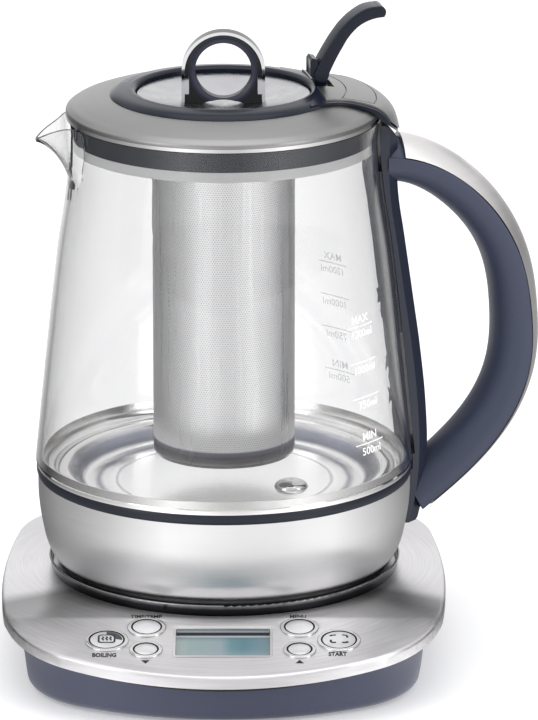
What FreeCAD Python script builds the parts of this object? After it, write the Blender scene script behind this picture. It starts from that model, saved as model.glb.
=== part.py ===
import FreeCAD, Part
import math
import os

# Automatic tea maker: a glass kettle with a removable tea strainer on a powered base.
# Millimetres. The origin is where the kettle's axis meets the standing plane, +Z is up,
# the control panel faces -Y and the kettle's handle points to +X, turned by kettle_yaw.

V = FreeCAD.Vector
UP = V(0, 0, 1)
fit_gap = 0.3                # clearance between curved faces of pieces that part from each other
seat_gap = 0.05              # clearance between pieces that sit on or in each other
slide_gap = 0.2              # clearance round a button in its guide

# ---- driving dimensions: the base ----
base_half_width = 88.6
base_front = 118.4           # from the kettle's axis to the front edge
base_back = 86.0
base_side_middle = -20.0     # where the sides bulge most
front_radius = 125.0
side_radius = 450.0
back_radius = 200.0
front_corner = 50.0
back_corner = 45.0
seat_level = 31.3            # top of the steel plate round the kettle
panel_bend = -72.0           # the plate bends down in front of this line
panel_slope = 10.5           # degrees
plate_sheet = 0.8
rim_height = 4.8             # depth of the plate's turned-down edge
rim_round = 1.6
plate_bend_radius = 8.0
housing_lip_inset = 2.0      # the housing starts this far inside the plate's edge
housing_waist_inset = 6.2    # where its flare ends
housing_foot_inset = 10.4
housing_waist = 20.0         # height of the end of the flare
housing_bottom = 1.0
housing_wall = 2.5
housing_round = 4.5
floor_inset = 17.0           # the bottom cover's edge, from the plate's edge
floor_thick = 2.2
foot_radius = 6.5
foot_height = 2.0
foot_x = 54.0
foot_front = -75.0
foot_back = 48.0
foot_ring_radius = 34.0
foot_ring_width = 5.0
post_radius = 4.0
post_x = 62.0
post_front = -62.0
post_back = 38.0
base_screw_radius = 1.4
base_screw_head = 2.8
gland_radius = 4.6
gland_bore = 3.2
gland_height = 12.0
power_board_height = 9.0

# ---- driving dimensions: the panel ----
button_travel = 1.0
ring_width = 1.5
ring_rise = 0.7
cap_rise = 0.6
frame_thick = 1.8
panel_inset = 9.0            # the frame's and the board's corners stay this far inside the plate's edge
frame_drop = 4.2             # how far the guides reach under the plate
board_drop = 9.6             # top of the control board under the plate
board_thick = 1.6
display_width = 36.8
display_height = 21.0
display_drop = 19.7          # centre of the display down the slope from the bend
bezel_width = 1.0
lens_depth = 2.0
outer_button_x = 45.3
inner_button_x = 29.9
upper_button_drop = 7.9
lower_button_drop = 25.6
outer_button_drop = 18.2
outer_button_radius = 6.9
upper_button_radius = 5.9
lower_button_radius = 4.9

# ---- driving dimensions: the seat and the connector ----
ring_radius = 69.8
ring_flare = 0.8
ring_height = 4.6
dish_sheet = 0.8
connector_radius = 16.5
connector_top = 41.0
connector_bottom = 20.0
socket_wall = 5.5
kettle_floor = 33.0          # underside of the kettle's bottom cover

# ---- driving dimensions: the kettle ----
kettle_yaw = 10.5            # degrees
skirt_sheet = 0.8
skirt_top = 70.4
skirt_top_radius = 74.6
skirt_middle = 52.0
skirt_middle_radius = 73.4
skirt_low = 40.0
skirt_low_radius = 70.2
skirt_bottom_radius = 66.4
skirt_bottom = 34.0
band_height = 4.0
band_radius = 75.3
dish_floor = 66.7
dish_floor_radius = 54.6
glass_wall = 2.2
glass_foot_radius = 75.6
glass_foot = 76.3
glass_neck_radius = 61.4
glass_neck = 200.0
glass_rim_radius = 62.3
glass_rim = 216.8
spout_reach = 75.0
spout_drop = 7.2             # how much lower the spout's lip is than the rim
spout_half_width = 14.5

# ---- driving dimensions: the handle ----
strap_width = 26.0
strap_chamfer = 4.0
strap_top = 212.6
strap_bottom = 47.4
strap_screw_height = 50.6
strap_screw_seat = 75.8
pad_thick = 1.0
pad_width = 25.0
pad_low = 127.0
pad_high = 194.0
grip_width = 27.0
band_sheet = 2.0
band_gap = 0.4

# ---- driving dimensions: the lid ----
collar_sheet = 2.0
collar_edge = 218.6
collar_crown = 225.6
collar_radius = 62.4
collar_clear = 0.15          # between the collar and the tail that lies over it
lid_ring_radius = 45.0
lid_ring_top = 227.9
opening_radius = 34.6
plug_wall = 1.8
plug_gap = 0.6               # between the plug and the glass
plug_bottom = 208.6
plug_floor_inset = 2.8       # from the collar's inner side to the edge of the plug's floor
seal_drop = 4.1
ledge_radius = 29.4
tail_reach = 69.2
tail_waist = 25.2            # half its width over the collar
tail_end = 29.8              # half its width near the tip
tail_sheet = 2.2
tail_rim = 2.6               # width of the dark rim left round the silver cover
cover_rise = 0.6
cover_thick = 1.4
cover_front = 36.4
thumb_inner = 48.2
thumb_outer = 60.6
thumb_half_width = 21.6
groove_depth = 0.45

# ---- driving dimensions: the lever ----
lever_pivot = 38.6           # from the kettle's axis
lever_pivot_height = 232.6
lever_root_radius = 2.9
lever_width = 10.6
lever_pin_radius = 1.1
lever_pin_gap = 0.05
lug_width = 3.4
lug_head = 2.2
lug_gap = 0.25

# ---- driving dimensions: the strainer, its cap and the knob ----
strainer_radius = 28.3
strainer_sheet = 0.5
strainer_bottom = 79.0
strainer_band = 4.5          # plain band at the foot of the strainer
flange_thick = 1.2
cap_radius = 34.1
cap_pass = 0.25              # room between the cap on its way up and the lever
cap_sheet = 0.8
cap_edge = 225.6
cap_dish = 4.0
cap_stem_depth = 9.0
knob_radius = 16.5
knob_centre = 234.5
knob_band_sheet = 1.2
knob_band_width = 6.0
knob_core_width = 5.0
knob_hole = 11.1
knob_hole_centre = 235.3
knob_lip = 2.1
knob_lip_width = 6.0
knob_notch_low = 225.8       # the steel band steps in to fill a notch in each side of the core
knob_notch_high = 233.0
knob_notch_depth = 1.7
knob_arch = 8.5
knob_arch_rise = 2.0
knob_leg = 11.8


# ---- helpers ----
def point(r, z):
    return V(r, 0, z)


def run(*points):
    """Straight edges from point to point."""
    return [Part.LineSegment(a, b).toShape() for a, b in zip(points, points[1:])]


def spline(*points):
    """One smooth edge through the points, for the sections of lofts."""
    edge = Part.BSplineCurve()
    edge.interpolate(list(points))
    return [edge.toShape()]


def arc_from(a, way, b):
    """The arc that leaves a in the direction way and ends at b, or a straight edge."""
    chord = b - a
    along = chord.normalize() * 1.0
    aside = way - along * way.dot(along)
    if aside.Length < 0.0005:
        return Part.LineSegment(a, b).toShape()
    half_turn = math.atan2(aside.Length, way.dot(along))
    rise = a.distanceToPoint(b) / 2 * math.tan(half_turn / 2)
    return Part.Arc(a, (a + b) * 0.5 + aside.normalize() * rise, b).toShape()


def curve(*points):
    """Smooth edges through the points: two arcs from each point to the next, all meeting in tangents."""
    chords = [b - a for a, b in zip(points, points[1:])]
    ways = [(one * (two.Length / one.Length) + two * (one.Length / two.Length)).normalize()
            for one, two in zip(chords, chords[1:])]
    first, last = chords[0] * (1 / chords[0].Length), chords[-1] * (1 / chords[-1].Length)
    ways = [first * (2 * ways[0].dot(first)) - ways[0]] + ways + [last * (2 * ways[-1].dot(last)) - ways[-1]]
    edges = []
    for a, b, leave, arrive in zip(points, points[1:], ways, ways[1:]):
        gap, both, turn = b - a, leave + arrive, 1 - leave.dot(arrive)
        if turn < 0.000001:
            reach_out = gap.dot(gap) / (4 * gap.dot(arrive))
        else:
            reach_out = (math.sqrt(gap.dot(both) ** 2 + 2 * turn * gap.dot(gap)) - gap.dot(both)) / (2 * turn)
        joint = (a + b + (leave - arrive) * reach_out) * 0.5
        edges.append(arc_from(a, leave, joint))
        edges.append(arc_from(b, arrive * -1, joint))
    return edges


def bend(a, b, c):
    """One arc from a through b to c."""
    return [Part.Arc(a, b, c).toShape()]


def flat(*edge_lists):
    """A flat face inside the closed outline that the edges make."""
    edges = [edge for edges in edge_lists for edge in edges]
    return Part.Face(Part.Wire(edges))


def closed(*points):
    """A flat face inside straight edges."""
    return flat(run(*points, points[0]))


def turned(face):
    """The face, drawn in the XZ plane, turned about the kettle's axis."""
    return face.revolve(V(0, 0, 0), UP, 360)


def washer(inner, outer, low, high):
    return turned(closed(point(inner, low), point(outer, low), point(outer, high), point(inner, high)))


def disc(radius, low, high):
    return Part.makeCylinder(radius, high - low, V(0, 0, low))


def side_offset(points, distance):
    """The points moved sideways by the distance, square to the line through them."""
    moved = []
    for number, here in enumerate(points):
        before = points[max(number - 1, 0)]
        after = points[min(number + 1, len(points) - 1)]
        along = (after - before).normalize()
        moved.append(here + V(along.z, 0, -along.x) * distance)
    return moved


def turned_sheet(points, thickness):
    """A sheet of even thickness to the right of the smooth line through the points, turned."""
    other = side_offset(points, thickness)
    return turned(flat(curve(*points), run(points[-1], other[-1]), curve(*reversed(other)), run(other[0], points[0])))


def across(face, width):
    """The face, drawn in the XZ plane, given a width to both sides of that plane."""
    face.translate(V(0, -width / 2, 0))
    return face.extrude(V(0, width, 0))


def yawed(shape):
    """The kettle's and lid's pieces are drawn with the handle along +X and then turned."""
    shape.rotate(V(0, 0, 0), UP, kettle_yaw)
    return shape


def joined(shapes):
    return shapes[0].multiFuse(shapes[1:]) if len(shapes) > 1 else shapes[0]


def group(shapes):
    return Part.makeCompound(shapes)


def solid_of(shape):
    """The single solid that a boolean left inside a compound."""
    return shape.Solids[0] if len(shape.Solids) == 1 else shape


# ---- the base's outline: eight arcs that meet smoothly ----
def tangent_centre(c1, r1, c2, r2, r):
    """Centre of the arc of radius r that touches both larger arcs from inside."""
    d1, d2 = r1 - r, r2 - r
    gap = c2 - c1
    length = gap.Length
    along = (d1 * d1 - d2 * d2 + length * length) / (2 * length)
    height = math.sqrt(d1 * d1 - along * along)
    foot = c1 + gap * (along / length)
    square = V(-gap.y, gap.x, 0) * (height / length)
    return max(foot + square, foot - square, key=lambda p: p.x)


def on_arc(centre, radius, through):
    return centre + (through - centre).normalize() * radius


def base_outline(inset, height):
    """The base's plan as a wire at the height, moved inwards by the inset."""
    front_c = V(0, front_radius - base_front, 0)
    back_c = V(0, base_back - back_radius, 0)
    side_c = V(base_half_width - side_radius, base_side_middle, 0)
    low_c = tangent_centre(front_c, front_radius, side_c, side_radius, front_corner)
    high_c = tangent_centre(side_c, side_radius, back_c, back_radius, back_corner)
    low_a = on_arc(front_c, front_radius - inset, low_c)
    low_b = on_arc(side_c, side_radius - inset, low_c)
    high_a = on_arc(side_c, side_radius - inset, high_c)
    high_b = on_arc(back_c, back_radius - inset, high_c)
    lift = V(0, 0, height)

    def arc(centre, radius, a, b):
        middle = on_arc(centre, radius, (a + b) * 0.5)
        return Part.Arc(a + lift, middle + lift, b + lift).toShape()

    def mirrored(p):
        return V(-p.x, p.y, p.z)

    edges = [arc(front_c, front_radius - inset, mirrored(low_a), low_a),
             arc(low_c, front_corner - inset, low_a, low_b),
             arc(side_c, side_radius - inset, low_b, high_a),
             arc(high_c, back_corner - inset, high_a, high_b),
             arc(back_c, back_radius - inset, high_b, mirrored(high_b)),
             arc(mirrored(high_c), back_corner - inset, mirrored(high_b), mirrored(high_a)),
             arc(mirrored(side_c), side_radius - inset, mirrored(high_a), mirrored(low_b)),
             arc(mirrored(low_c), front_corner - inset, mirrored(low_b), mirrored(low_a))]
    return Part.Wire(edges)


def prism(inset, low, high):
    return Part.Face(base_outline(inset, low)).extrude(V(0, 0, high - low))


reach = 2 * (base_front + base_back)       # longer than anything on the base


def under_top(drop):
    """Everything below the plate's top, which is level and then slopes to the front, lowered by drop."""
    top = seat_level - drop
    front = top - (reach + panel_bend) * math.tan(math.radians(panel_slope))
    face = Part.Face(Part.makePolygon([V(-reach, reach, top), V(-reach, panel_bend, top), V(-reach, -reach, front),
                                       V(-reach, -reach, -reach), V(-reach, reach, -reach), V(-reach, reach, top)]))
    return face.extrude(V(2 * reach, 0, 0))


def top_height(y):
    """Height of the plate's top at y."""
    return seat_level + min(0, y - panel_bend) * math.tan(math.radians(panel_slope))


panel = FreeCAD.Placement(V(0, panel_bend, seat_level), FreeCAD.Rotation(V(1, 0, 0), panel_slope))


def on_panel(shape):
    """Moves a shape drawn in the panel's frame (x right, y up the slope, z out) into place."""
    shape.Placement = panel.multiply(shape.Placement)
    return shape


def panel_disc(x, drop, radius, low, high):
    return on_panel(Part.makeCylinder(radius, high - low, V(x, -drop, low)))


def panel_box(width, height, middle_drop, low, high, corner=0.0):
    box = Part.makeBox(width, height, high - low, V(-width / 2, -middle_drop - height / 2, low))
    if corner:
        box = box.makeFillet(corner, [e for e in box.Edges if abs(e.tangentAt(e.FirstParameter).z) > 0.9])
    return on_panel(box)


buttons = {
    "boiling_button": (-outer_button_x, outer_button_drop, outer_button_radius),
    "start_button": (outer_button_x, outer_button_drop, outer_button_radius),
    "time_button": (-inner_button_x, upper_button_drop, upper_button_radius),
    "menu_button": (inner_button_x, upper_button_drop, upper_button_radius),
    "down_button": (-inner_button_x, lower_button_drop, lower_button_radius),
    "up_button": (inner_button_x, lower_button_drop, lower_button_radius),
}
ring_shank = 0.9                            # wall of a button ring inside the plate
stop_rim = 0.9                              # rim under a button that keeps it in its guide
button_foot = frame_drop + 1.0              # underside of a button below the plate's top
posts = [(x * post_x, y) for x in (-1, 1) for y in (post_front, post_back)]
feet = [(x * foot_x, y) for x in (-1, 1) for y in (foot_front, foot_back)]
floor_top = housing_bottom + floor_thick
deck_hole = connector_radius + 6.0


# ---- base pieces ----
def middle_of(edge):
    return edge.valueAt((edge.FirstParameter + edge.LastParameter) / 2)


def plate_block(drop):
    """The space under the plate's rounded outside, moved inwards by drop all over."""
    block = prism(drop, 5, seat_level + 5).common(under_top(drop))
    block = block.makeFillet(plate_bend_radius, [e for e in block.Edges
                                                 if e.Curve.TypeId == "Part::GeomLine" and e.BoundBox.XLength > 100])
    rim = [e for e in block.Edges if e.BoundBox.ZMin > 15 and e.BoundBox.XLength < 2 * base_half_width
           and abs(middle_of(e).z + drop - top_height(middle_of(e).y)) < 0.6
           and not (e.Curve.TypeId == "Part::GeomLine" and e.BoundBox.XLength > 100)]
    return block.makeFillet(rim_round - drop, rim)


def base_top_plate():
    sheet = plate_block(0).cut(plate_block(plate_sheet)).cut(under_top(rim_height))
    sheet = sheet.cut(disc(deck_hole, 0, reach))
    for x, drop, radius in buttons.values():
        sheet = sheet.cut(panel_disc(x, drop, radius + slide_gap + ring_shank + seat_gap, -5, 5))
    window = panel_box(display_width + 2 * bezel_width + seat_gap, display_height + 2 * bezel_width + seat_gap,
                       display_drop, -5, 5, 1.5)
    return solid_of(sheet.cut(window))


def housing_block(extra_inset, low):
    """The housing's flared outside, or its inside with an extra inset."""
    flare = (housing_lip_inset + housing_waist_inset) / 2 - 0.6
    sections = ((low, housing_foot_inset), (housing_waist * 0.5, (housing_foot_inset + housing_waist_inset) / 2 + 0.3),
                (housing_waist, housing_waist_inset), ((housing_waist + seat_level) / 2, flare),
                (seat_level, housing_lip_inset))
    return Part.makeLoft([base_outline(inset + extra_inset, height) for height, inset in sections], True, False)


def base_housing():
    body = housing_block(0, housing_bottom)
    body = body.makeFillet(housing_round, [e for e in body.Edges if e.BoundBox.ZMax < housing_bottom + 0.01])
    body = body.common(under_top(plate_sheet + seat_gap))
    inside = housing_block(housing_wall, housing_bottom + housing_wall)
    body = body.cut(inside.common(under_top(plate_sheet + seat_gap + housing_wall)))
    body = body.cut(prism(floor_inset - seat_gap, 0, housing_bottom + housing_wall + 1))
    window = panel_box(2 * (outer_button_x + outer_button_radius) + 6, 35.0, 17.0, -6, 2)
    body = body.cut(window.common(prism(panel_inset - 1, 0, reach)))
    body = body.cut(disc(deck_hole, 0, reach))
    for x, y in posts:
        post = Part.makeCylinder(post_radius, seat_level - floor_top, V(x, y, floor_top))
        body = body.fuse(post.common(under_top(plate_sheet + housing_wall)))
        body = body.cut(Part.makeCylinder(base_screw_radius, 12, V(x, y, floor_top)))
    body = body.cut(Part.makeCylinder(gland_radius, 40, V(0, base_back - 25, gland_height), V(0, 1, 0)))
    return solid_of(body)


def base_bottom_cover():
    cover = prism(floor_inset, housing_bottom, floor_top)
    hub_radius = foot_ring_radius - foot_ring_width - 4
    cover = cover.cut(washer(hub_radius, foot_ring_radius - foot_ring_width - 1, housing_bottom, housing_bottom + 1.0))
    cover = cover.cut(foot_ring_shape())
    for foot in foot_shapes():
        cover = cover.cut(foot)
    for x, y in posts:
        cover = cover.cut(Part.makeCylinder(base_screw_radius + 0.1, 6, V(x, y, 0)))
        cover = cover.cut(Part.makeCylinder(base_screw_head + 0.2, 1.2, V(x, y, housing_bottom)))
    slot = Part.makeBox(2.0, 16.0, 10, V(-1.0, 56.0, -2))
    for number in range(9):
        vent = slot.copy()
        vent.translate(V((number - 4) * 5.0, 0, 0))
        cover = cover.cut(vent)
    return solid_of(cover)


def foot_ring_shape():
    return washer(foot_ring_radius - foot_ring_width, foot_ring_radius, 0, foot_height)


def foot_shapes():
    return [Part.makeCylinder(foot_radius, foot_height, V(x, y, 0)) for x, y in feet]


def base_screws():
    shapes = []
    for x, y in posts:
        head = Part.makeCylinder(base_screw_head, 1.1, V(x, y, housing_bottom + 0.05))
        shapes.append(head.fuse(Part.makeCylinder(base_screw_radius, 10, V(x, y, housing_bottom + 0.1))))
    return group(shapes)


def seat_ring():
    inner = ring_radius - plate_sheet
    low, high = seat_level + seat_gap, seat_level + ring_height
    lip = 0.5
    face = flat(run(point(inner, low), point(ring_radius, low)),
                curve(point(ring_radius, low), point(ring_radius + 0.35 * ring_flare, low + 0.5 * ring_height),
                      point(ring_radius + ring_flare, high - lip)),
                bend(point(ring_radius + ring_flare, high - lip), point(ring_radius + ring_flare - 0.45, high),
                     point(ring_radius + ring_flare - 0.9, high - lip)),
                curve(point(ring_radius + ring_flare - 0.9, high - lip),
                      point(inner + 0.35 * ring_flare, low + 0.5 * ring_height), point(inner, low)))
    return turned(face)


def seat_dish():
    low = seat_level + seat_gap
    return washer(connector_radius + seat_gap, ring_radius - plate_sheet - seat_gap, low, low + dish_sheet)


def base_connector():
    body = disc(connector_radius, connector_bottom, connector_top)
    body = body.makeFillet(1.2, [e for e in body.Edges if abs(e.BoundBox.ZMin - connector_top) < 0.01])
    flange_high = seat_level - plate_sheet - housing_wall - 2 * seat_gap
    body = body.fuse(disc(deck_hole + 3, flange_high - 2.0, flange_high))
    for inner, outer in contact_rings():
        body = body.cut(washer(inner - 0.5, outer + 0.5, connector_top - 9, connector_top + 1))
    body = body.cut(disc(2.5, connector_top - 12, connector_top + 1))
    return solid_of(body)


def contact_rings():
    return [(6.0, 7.0), (11.0, 12.0)]


def connector_contacts():
    shapes = [washer(inner, outer, connector_top - 9, connector_top - 2.5) for inner, outer in contact_rings()]
    shapes.append(disc(1.6, connector_top - 12, connector_top - 3))
    return group(shapes)


def display_bezel():
    outer = panel_box(display_width + 2 * bezel_width, display_height + 2 * bezel_width, display_drop,
                      -lens_depth - 0.8, 0.35, 1.4)
    return outer.cut(panel_box(display_width, display_height, display_drop, -lens_depth - 2, 2, 0.5))


def display_lens():
    return panel_box(display_width - 2 * seat_gap, display_height - 2 * seat_gap, display_drop,
                     -lens_depth - 0.8, -lens_depth, 0.4)


def lcd_module():
    return panel_box(display_width - 1.5, display_height - 1.5, display_drop, -board_drop, -lens_depth - 0.85)


def button_frame():
    frame = panel_box(2 * (outer_button_x + outer_button_radius) + 4, 33.0, 17.2,
                      -plate_sheet - seat_gap - frame_thick, -plate_sheet - seat_gap)
    frame = frame.common(prism(panel_inset, 0, reach))
    for x, drop, radius in buttons.values():
        frame = frame.fuse(panel_disc(x, drop, radius + slide_gap + 1.2, -frame_drop, -plate_sheet - 1))
    for x, drop, radius in buttons.values():
        frame = frame.cut(panel_disc(x, drop, radius + slide_gap, -10, 5))
        frame = frame.cut(panel_disc(x, drop, radius + slide_gap + ring_shank + seat_gap,
                                     -plate_sheet - 0.75, 5))
    frame = frame.cut(panel_box(display_width + 2 * bezel_width + 1, display_height + 2 * bezel_width + 1,
                                display_drop, -10, 5))
    return solid_of(frame)


def button_rings():
    shapes = []
    for x, drop, radius in buttons.values():
        inner = radius + slide_gap
        flange = panel_disc(x, drop, inner + ring_width, 0.02, ring_rise)
        top = [e for e in flange.Edges if e.Curve.TypeId == "Part::GeomCircle"]
        flange = flange.makeFillet(0.45, top[:1])
        ring = flange.fuse(panel_disc(x, drop, inner + ring_shank, -plate_sheet - 0.7, 0.3))
        shapes.append(solid_of(ring.cut(panel_disc(x, drop, inner, -5, 5))))
    return group(shapes)


def button(x, drop, radius):
    dome = 0.5
    face = flat(run(point(0, -button_foot), point(radius + stop_rim, -button_foot),
                    point(radius + stop_rim, -button_foot + 0.8), point(radius, -button_foot + 0.8),
                    point(radius, cap_rise - dome), point(radius - 0.5, cap_rise)),
                curve(point(radius - 0.5, cap_rise), point(radius * 0.6, cap_rise + dome * 0.7),
                      point(0, cap_rise + dome)),
                run(point(0, cap_rise + dome), point(0, -button_foot)))
    shape = turned(face)
    shape.translate(V(x, -drop, 0))
    return on_panel(shape)


def control_board():
    board = panel_box(2 * outer_button_x + 10, 28.0, 16.0, -board_drop - board_thick - seat_gap, -board_drop - seat_gap)
    return board.common(prism(panel_inset + 4, 0, reach))


def tact_switches():
    shapes = []
    for x, drop, radius in buttons.values():
        base = Part.makeBox(6, 6, 2.2, V(x - 3, -drop - 3, -board_drop))
        base = base.fuse(Part.makeCylinder(1.7, board_drop - button_foot - button_travel - 0.15,
                                           V(x, -drop, -board_drop)))
        shapes.append(on_panel(solid_of(base)))
    return group(shapes)


def power_board():
    board = Part.makeBox(92, 38, 1.6, V(-46, 24, power_board_height))
    for x in (-40, 40):
        for y in (29, 57):
            leg = Part.makeCylinder(2.5, power_board_height - floor_top - seat_gap, V(x, y, floor_top + seat_gap))
            board = board.fuse(leg)
    return solid_of(board)


def relay():
    return Part.makeBox(19, 15, 14, V(-34, 34, power_board_height + 1.6 + seat_gap))


def cord_gland():
    back = base_back - housing_lip_inset
    gland = Part.makeCylinder(gland_radius - seat_gap, 14, V(0, back - 14, gland_height), V(0, 1, 0))
    gland = gland.fuse(Part.makeCylinder(gland_radius + 1.5, 2, V(0, back - 14, gland_height), V(0, 1, 0)))
    gland = gland.cut(Part.makeCylinder(gland_bore, 40, V(0, back - 30, gland_height), V(0, 1, 0)))
    return solid_of(gland.common(prism(1.0, 0, seat_level)))


# ---- kettle pieces, drawn with the handle along +X ----
def glass_outside(extra):
    """The outer line of the glass from foot to rim, moved out by extra."""
    foot, neck, rim = point(glass_foot_radius, glass_foot), point(glass_neck_radius, glass_neck), \
        point(glass_rim_radius, glass_rim)
    slope = (neck - foot) * 0.33
    points = [foot, foot + slope + V(0.5, 0, 0), foot + slope * 2 + V(0.6, 0, 0), neck,
              point(glass_neck_radius - 0.3, (glass_neck + glass_rim) / 2), rim]
    return side_offset(points, extra) if extra else points


def glass_block(extra):
    """The space inside the glass's outer line, moved out by extra."""
    line = glass_outside(extra)
    low, high = line[0].z, line[-1].z
    return turned(flat(curve(*line), run(line[-1], point(0, high), point(0, low), line[0])))


def spout_block(shrink, lift):
    """The beak's outside, or its inside when shrunk and lifted."""
    sections = ((57.0, 17.5, 182.0), (62.0, spout_half_width, 193.5), (65.5, 9.6, 201.2),
                (70.0, 6.4, 206.6), (spout_reach, 3.4, 209.4))
    high = glass_rim + 8
    wires = []
    for reach_out, half, keel in sections:
        half, keel = half - shrink, keel + lift
        x = reach_out + (shrink * 0.4 if reach_out == spout_reach else 0)
        rise = high - keel
        bottom = spline(V(-x, -half, high), V(-x, -half * 0.97, keel + rise * 0.55), V(-x, -half * 0.62, keel + rise * 0.12),
                       V(-x, 0, keel), V(-x, half * 0.62, keel + rise * 0.12),
                       V(-x, half * 0.97, keel + rise * 0.55), V(-x, half, high))
        wires.append(Part.Wire(bottom + run(V(-x, half, high), V(-x, -half, high))))
    return Part.makeLoft(wires, True, False)


def glass_jug():
    outside = glass_block(0).fuse(spout_block(0, 0))
    line = glass_outside(-glass_wall)
    inner = turned(flat(curve(*line), run(line[-1], point(line[-1].x, glass_rim + 20), point(0, glass_rim + 20),
                                          point(0, 60), point(line[0].x, 60), line[0])))
    jug = outside.cut(inner).cut(spout_block(glass_wall * 0.8, glass_wall * 0.9))
    jug = jug.cut(Part.makeBox(300, 300, 60, V(-150, -150, glass_rim)))
    tip = point(-spout_reach - 1, glass_rim - spout_drop)
    lip = across(flat(curve(point(-glass_rim_radius + 0.5, glass_rim + 0.1), point(-67, glass_rim - 1.7),
                            point(-72, glass_rim - 4.2), tip),
                      run(tip, point(-spout_reach - 9, glass_rim - spout_drop - 6), point(-spout_reach - 9, glass_rim + 30),
                          point(-glass_rim_radius + 0.5, glass_rim + 30), point(-glass_rim_radius + 0.5, glass_rim + 0.1))), 80)
    jug = jug.cut(lip)
    return solid_of(jug)


def skirt_line():
    return [point(skirt_top_radius, skirt_top), point(skirt_middle_radius, skirt_middle),
            point(skirt_low_radius, skirt_low), point(skirt_bottom_radius, skirt_bottom)]


def steel_skirt():
    return turned_sheet(skirt_line(), skirt_sheet)


def skirt_block(extra):
    line = side_offset(skirt_line(), -extra)
    return turned(flat(curve(*line), run(line[-1], point(0, line[-1].z), point(0, line[0].z), line[0])))


def skirt_ring():
    low = skirt_top + 0.1
    high = low + band_height
    face = flat(run(point(band_radius - 2.4, high), point(band_radius - 2.4, low), point(band_radius - 0.5, low)),
                bend(point(band_radius - 0.5, low), point(band_radius, (low + high) / 2), point(band_radius - 0.5, high)),
                run(point(band_radius - 0.5, high), point(band_radius - 2.4, high)))
    return turned(face)


def heating_dish():
    top = skirt_top + band_height + 0.15 + dish_sheet
    rim = band_radius - 0.2
    points = [point(rim - 3.3, top), point(70.6, top - 1.9), point(68.2, top - 2.9), point(65.8, top - 1.9),
              point(63.6, top - 1.8), point(60.4, top - 4.6), point(57.0, dish_floor + 0.9),
              point(dish_floor_radius - 1.5, dish_floor)]
    under = side_offset(points, -dish_sheet)
    face = flat(run(point(0, dish_floor), points[-1]), curve(*reversed(points)),
                run(points[0], point(rim, top), point(rim, top - dish_sheet), under[0]),
                curve(*under), run(under[-1], point(0, dish_floor - dish_sheet), point(0, dish_floor)))
    return turned(face)


def dish_seal():
    low = skirt_top + band_height + 0.15 + dish_sheet
    inner = glass_foot_radius - glass_wall - 1.0
    face = closed(point(inner, low + seat_gap), point(glass_foot_radius - 0.3, low + seat_gap),
                  point(glass_foot_radius - 0.3, glass_foot - seat_gap), point(inner + 0.9, glass_foot - seat_gap),
                  point(inner + 0.5, glass_foot + 3.0), point(inner, glass_foot + 3.0))
    return turned(face)


def heating_element():
    ring = Part.makeTorus(42.0, 4.0, V(0, 0, dish_floor - dish_sheet - 4.0 - 0.3))
    return ring.cut(Part.makeBox(30, 12, 20, V(30, -6, dish_floor - 20)))


def thermal_cutout():
    return Part.makeCylinder(13, 7, V(0, 0, dish_floor - dish_sheet - 7.3))


def sensor_dome():
    height = 2.6
    face = flat(run(point(0, dish_floor + 0.02), point(6.8, dish_floor + 0.02)),
                curve(point(6.8, dish_floor + 0.02), point(6.2, dish_floor + 1.2), point(4.4, dish_floor + height - 0.3),
                      point(0, dish_floor + height)),
                run(point(0, dish_floor + height), point(0, dish_floor + 0.02)))
    shape = turned(face)
    angle = math.radians(-33.5)
    shape.translate(V(29.1 * math.cos(angle), 29.1 * math.sin(angle), 0))
    return shape


def kettle_bottom_cover():
    rim = skirt_bottom_radius - skirt_sheet - 0.4
    socket = connector_radius + fit_gap + socket_wall + seat_gap
    cover = washer(socket, rim, kettle_floor, kettle_floor + 2.4)
    cover = cover.fuse(washer(socket, socket + 2.2, kettle_floor, kettle_floor + 12))
    for x, y in cover_screws():
        cover = cover.fuse(Part.makeCylinder(4, 8, V(x, y, kettle_floor)))
        cover = cover.cut(Part.makeCylinder(1.5, 8, V(x, y, kettle_floor - 0.1)))
        cover = cover.cut(Part.makeCylinder(3.0, 1.5, V(x, y, kettle_floor)))
    for number in range(3):
        angle = math.radians(90 + 120 * number)
        nub = Part.makeCylinder(3.0, 0.7, V(52 * math.cos(angle), 52 * math.sin(angle), kettle_floor - 0.7))
        cover = cover.fuse(nub)
    return solid_of(cover)


def cover_screws():
    return [(45 * math.cos(math.radians(a)), 45 * math.sin(math.radians(a))) for a in (30, 150, 270)]


def kettle_screws():
    shapes = []
    for x, y in cover_screws():
        head = Part.makeCylinder(2.8, 1.3, V(x, y, kettle_floor + 0.15))
        shapes.append(head.fuse(Part.makeCylinder(1.4, 7.0, V(x, y, kettle_floor + 0.2))))
    return group(shapes)


def kettle_connector():
    inner = connector_radius + fit_gap
    outer = inner + socket_wall
    top = connector_top + 3
    return solid_of(washer(inner, outer, kettle_floor + 0.3, top).fuse(disc(outer, top - 1.5, top)))


# ---- the handle ----
def strap_line():
    return [point(68.6, 204.5), point(68.3, 196), point(68.9, 184), point(71.4, 167), point(74.9, 143),
            point(78.3, 119), point(80.5, 98), point(81.3, 77), point(80.0, 60), point(77.6, strap_bottom + 1.0)]


def strap_block():
    """The strap as a bar between an inner line and its outer line, with its outer edges chamfered."""
    line = strap_line()
    shoulder = bend(point(62.6, strap_top), point(66.6, strap_top - 3.2), line[0])
    face = flat(curve(*line), run(line[-1], point(76.6, strap_bottom), point(60, strap_bottom), point(60, strap_top),
                                  point(62.6, strap_top)), shoulder)
    bar = across(face, strap_width)
    half = strap_width / 2
    edges = [e for e in bar.Edges if e.BoundBox.XMin > 66 and e.BoundBox.ZMin > strap_bottom + 0.9
             and e.BoundBox.YLength < 0.01 and abs(abs(e.BoundBox.YMin) - half) < 0.01]
    return bar.makeChamfer(strap_chamfer, edges)


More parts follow.
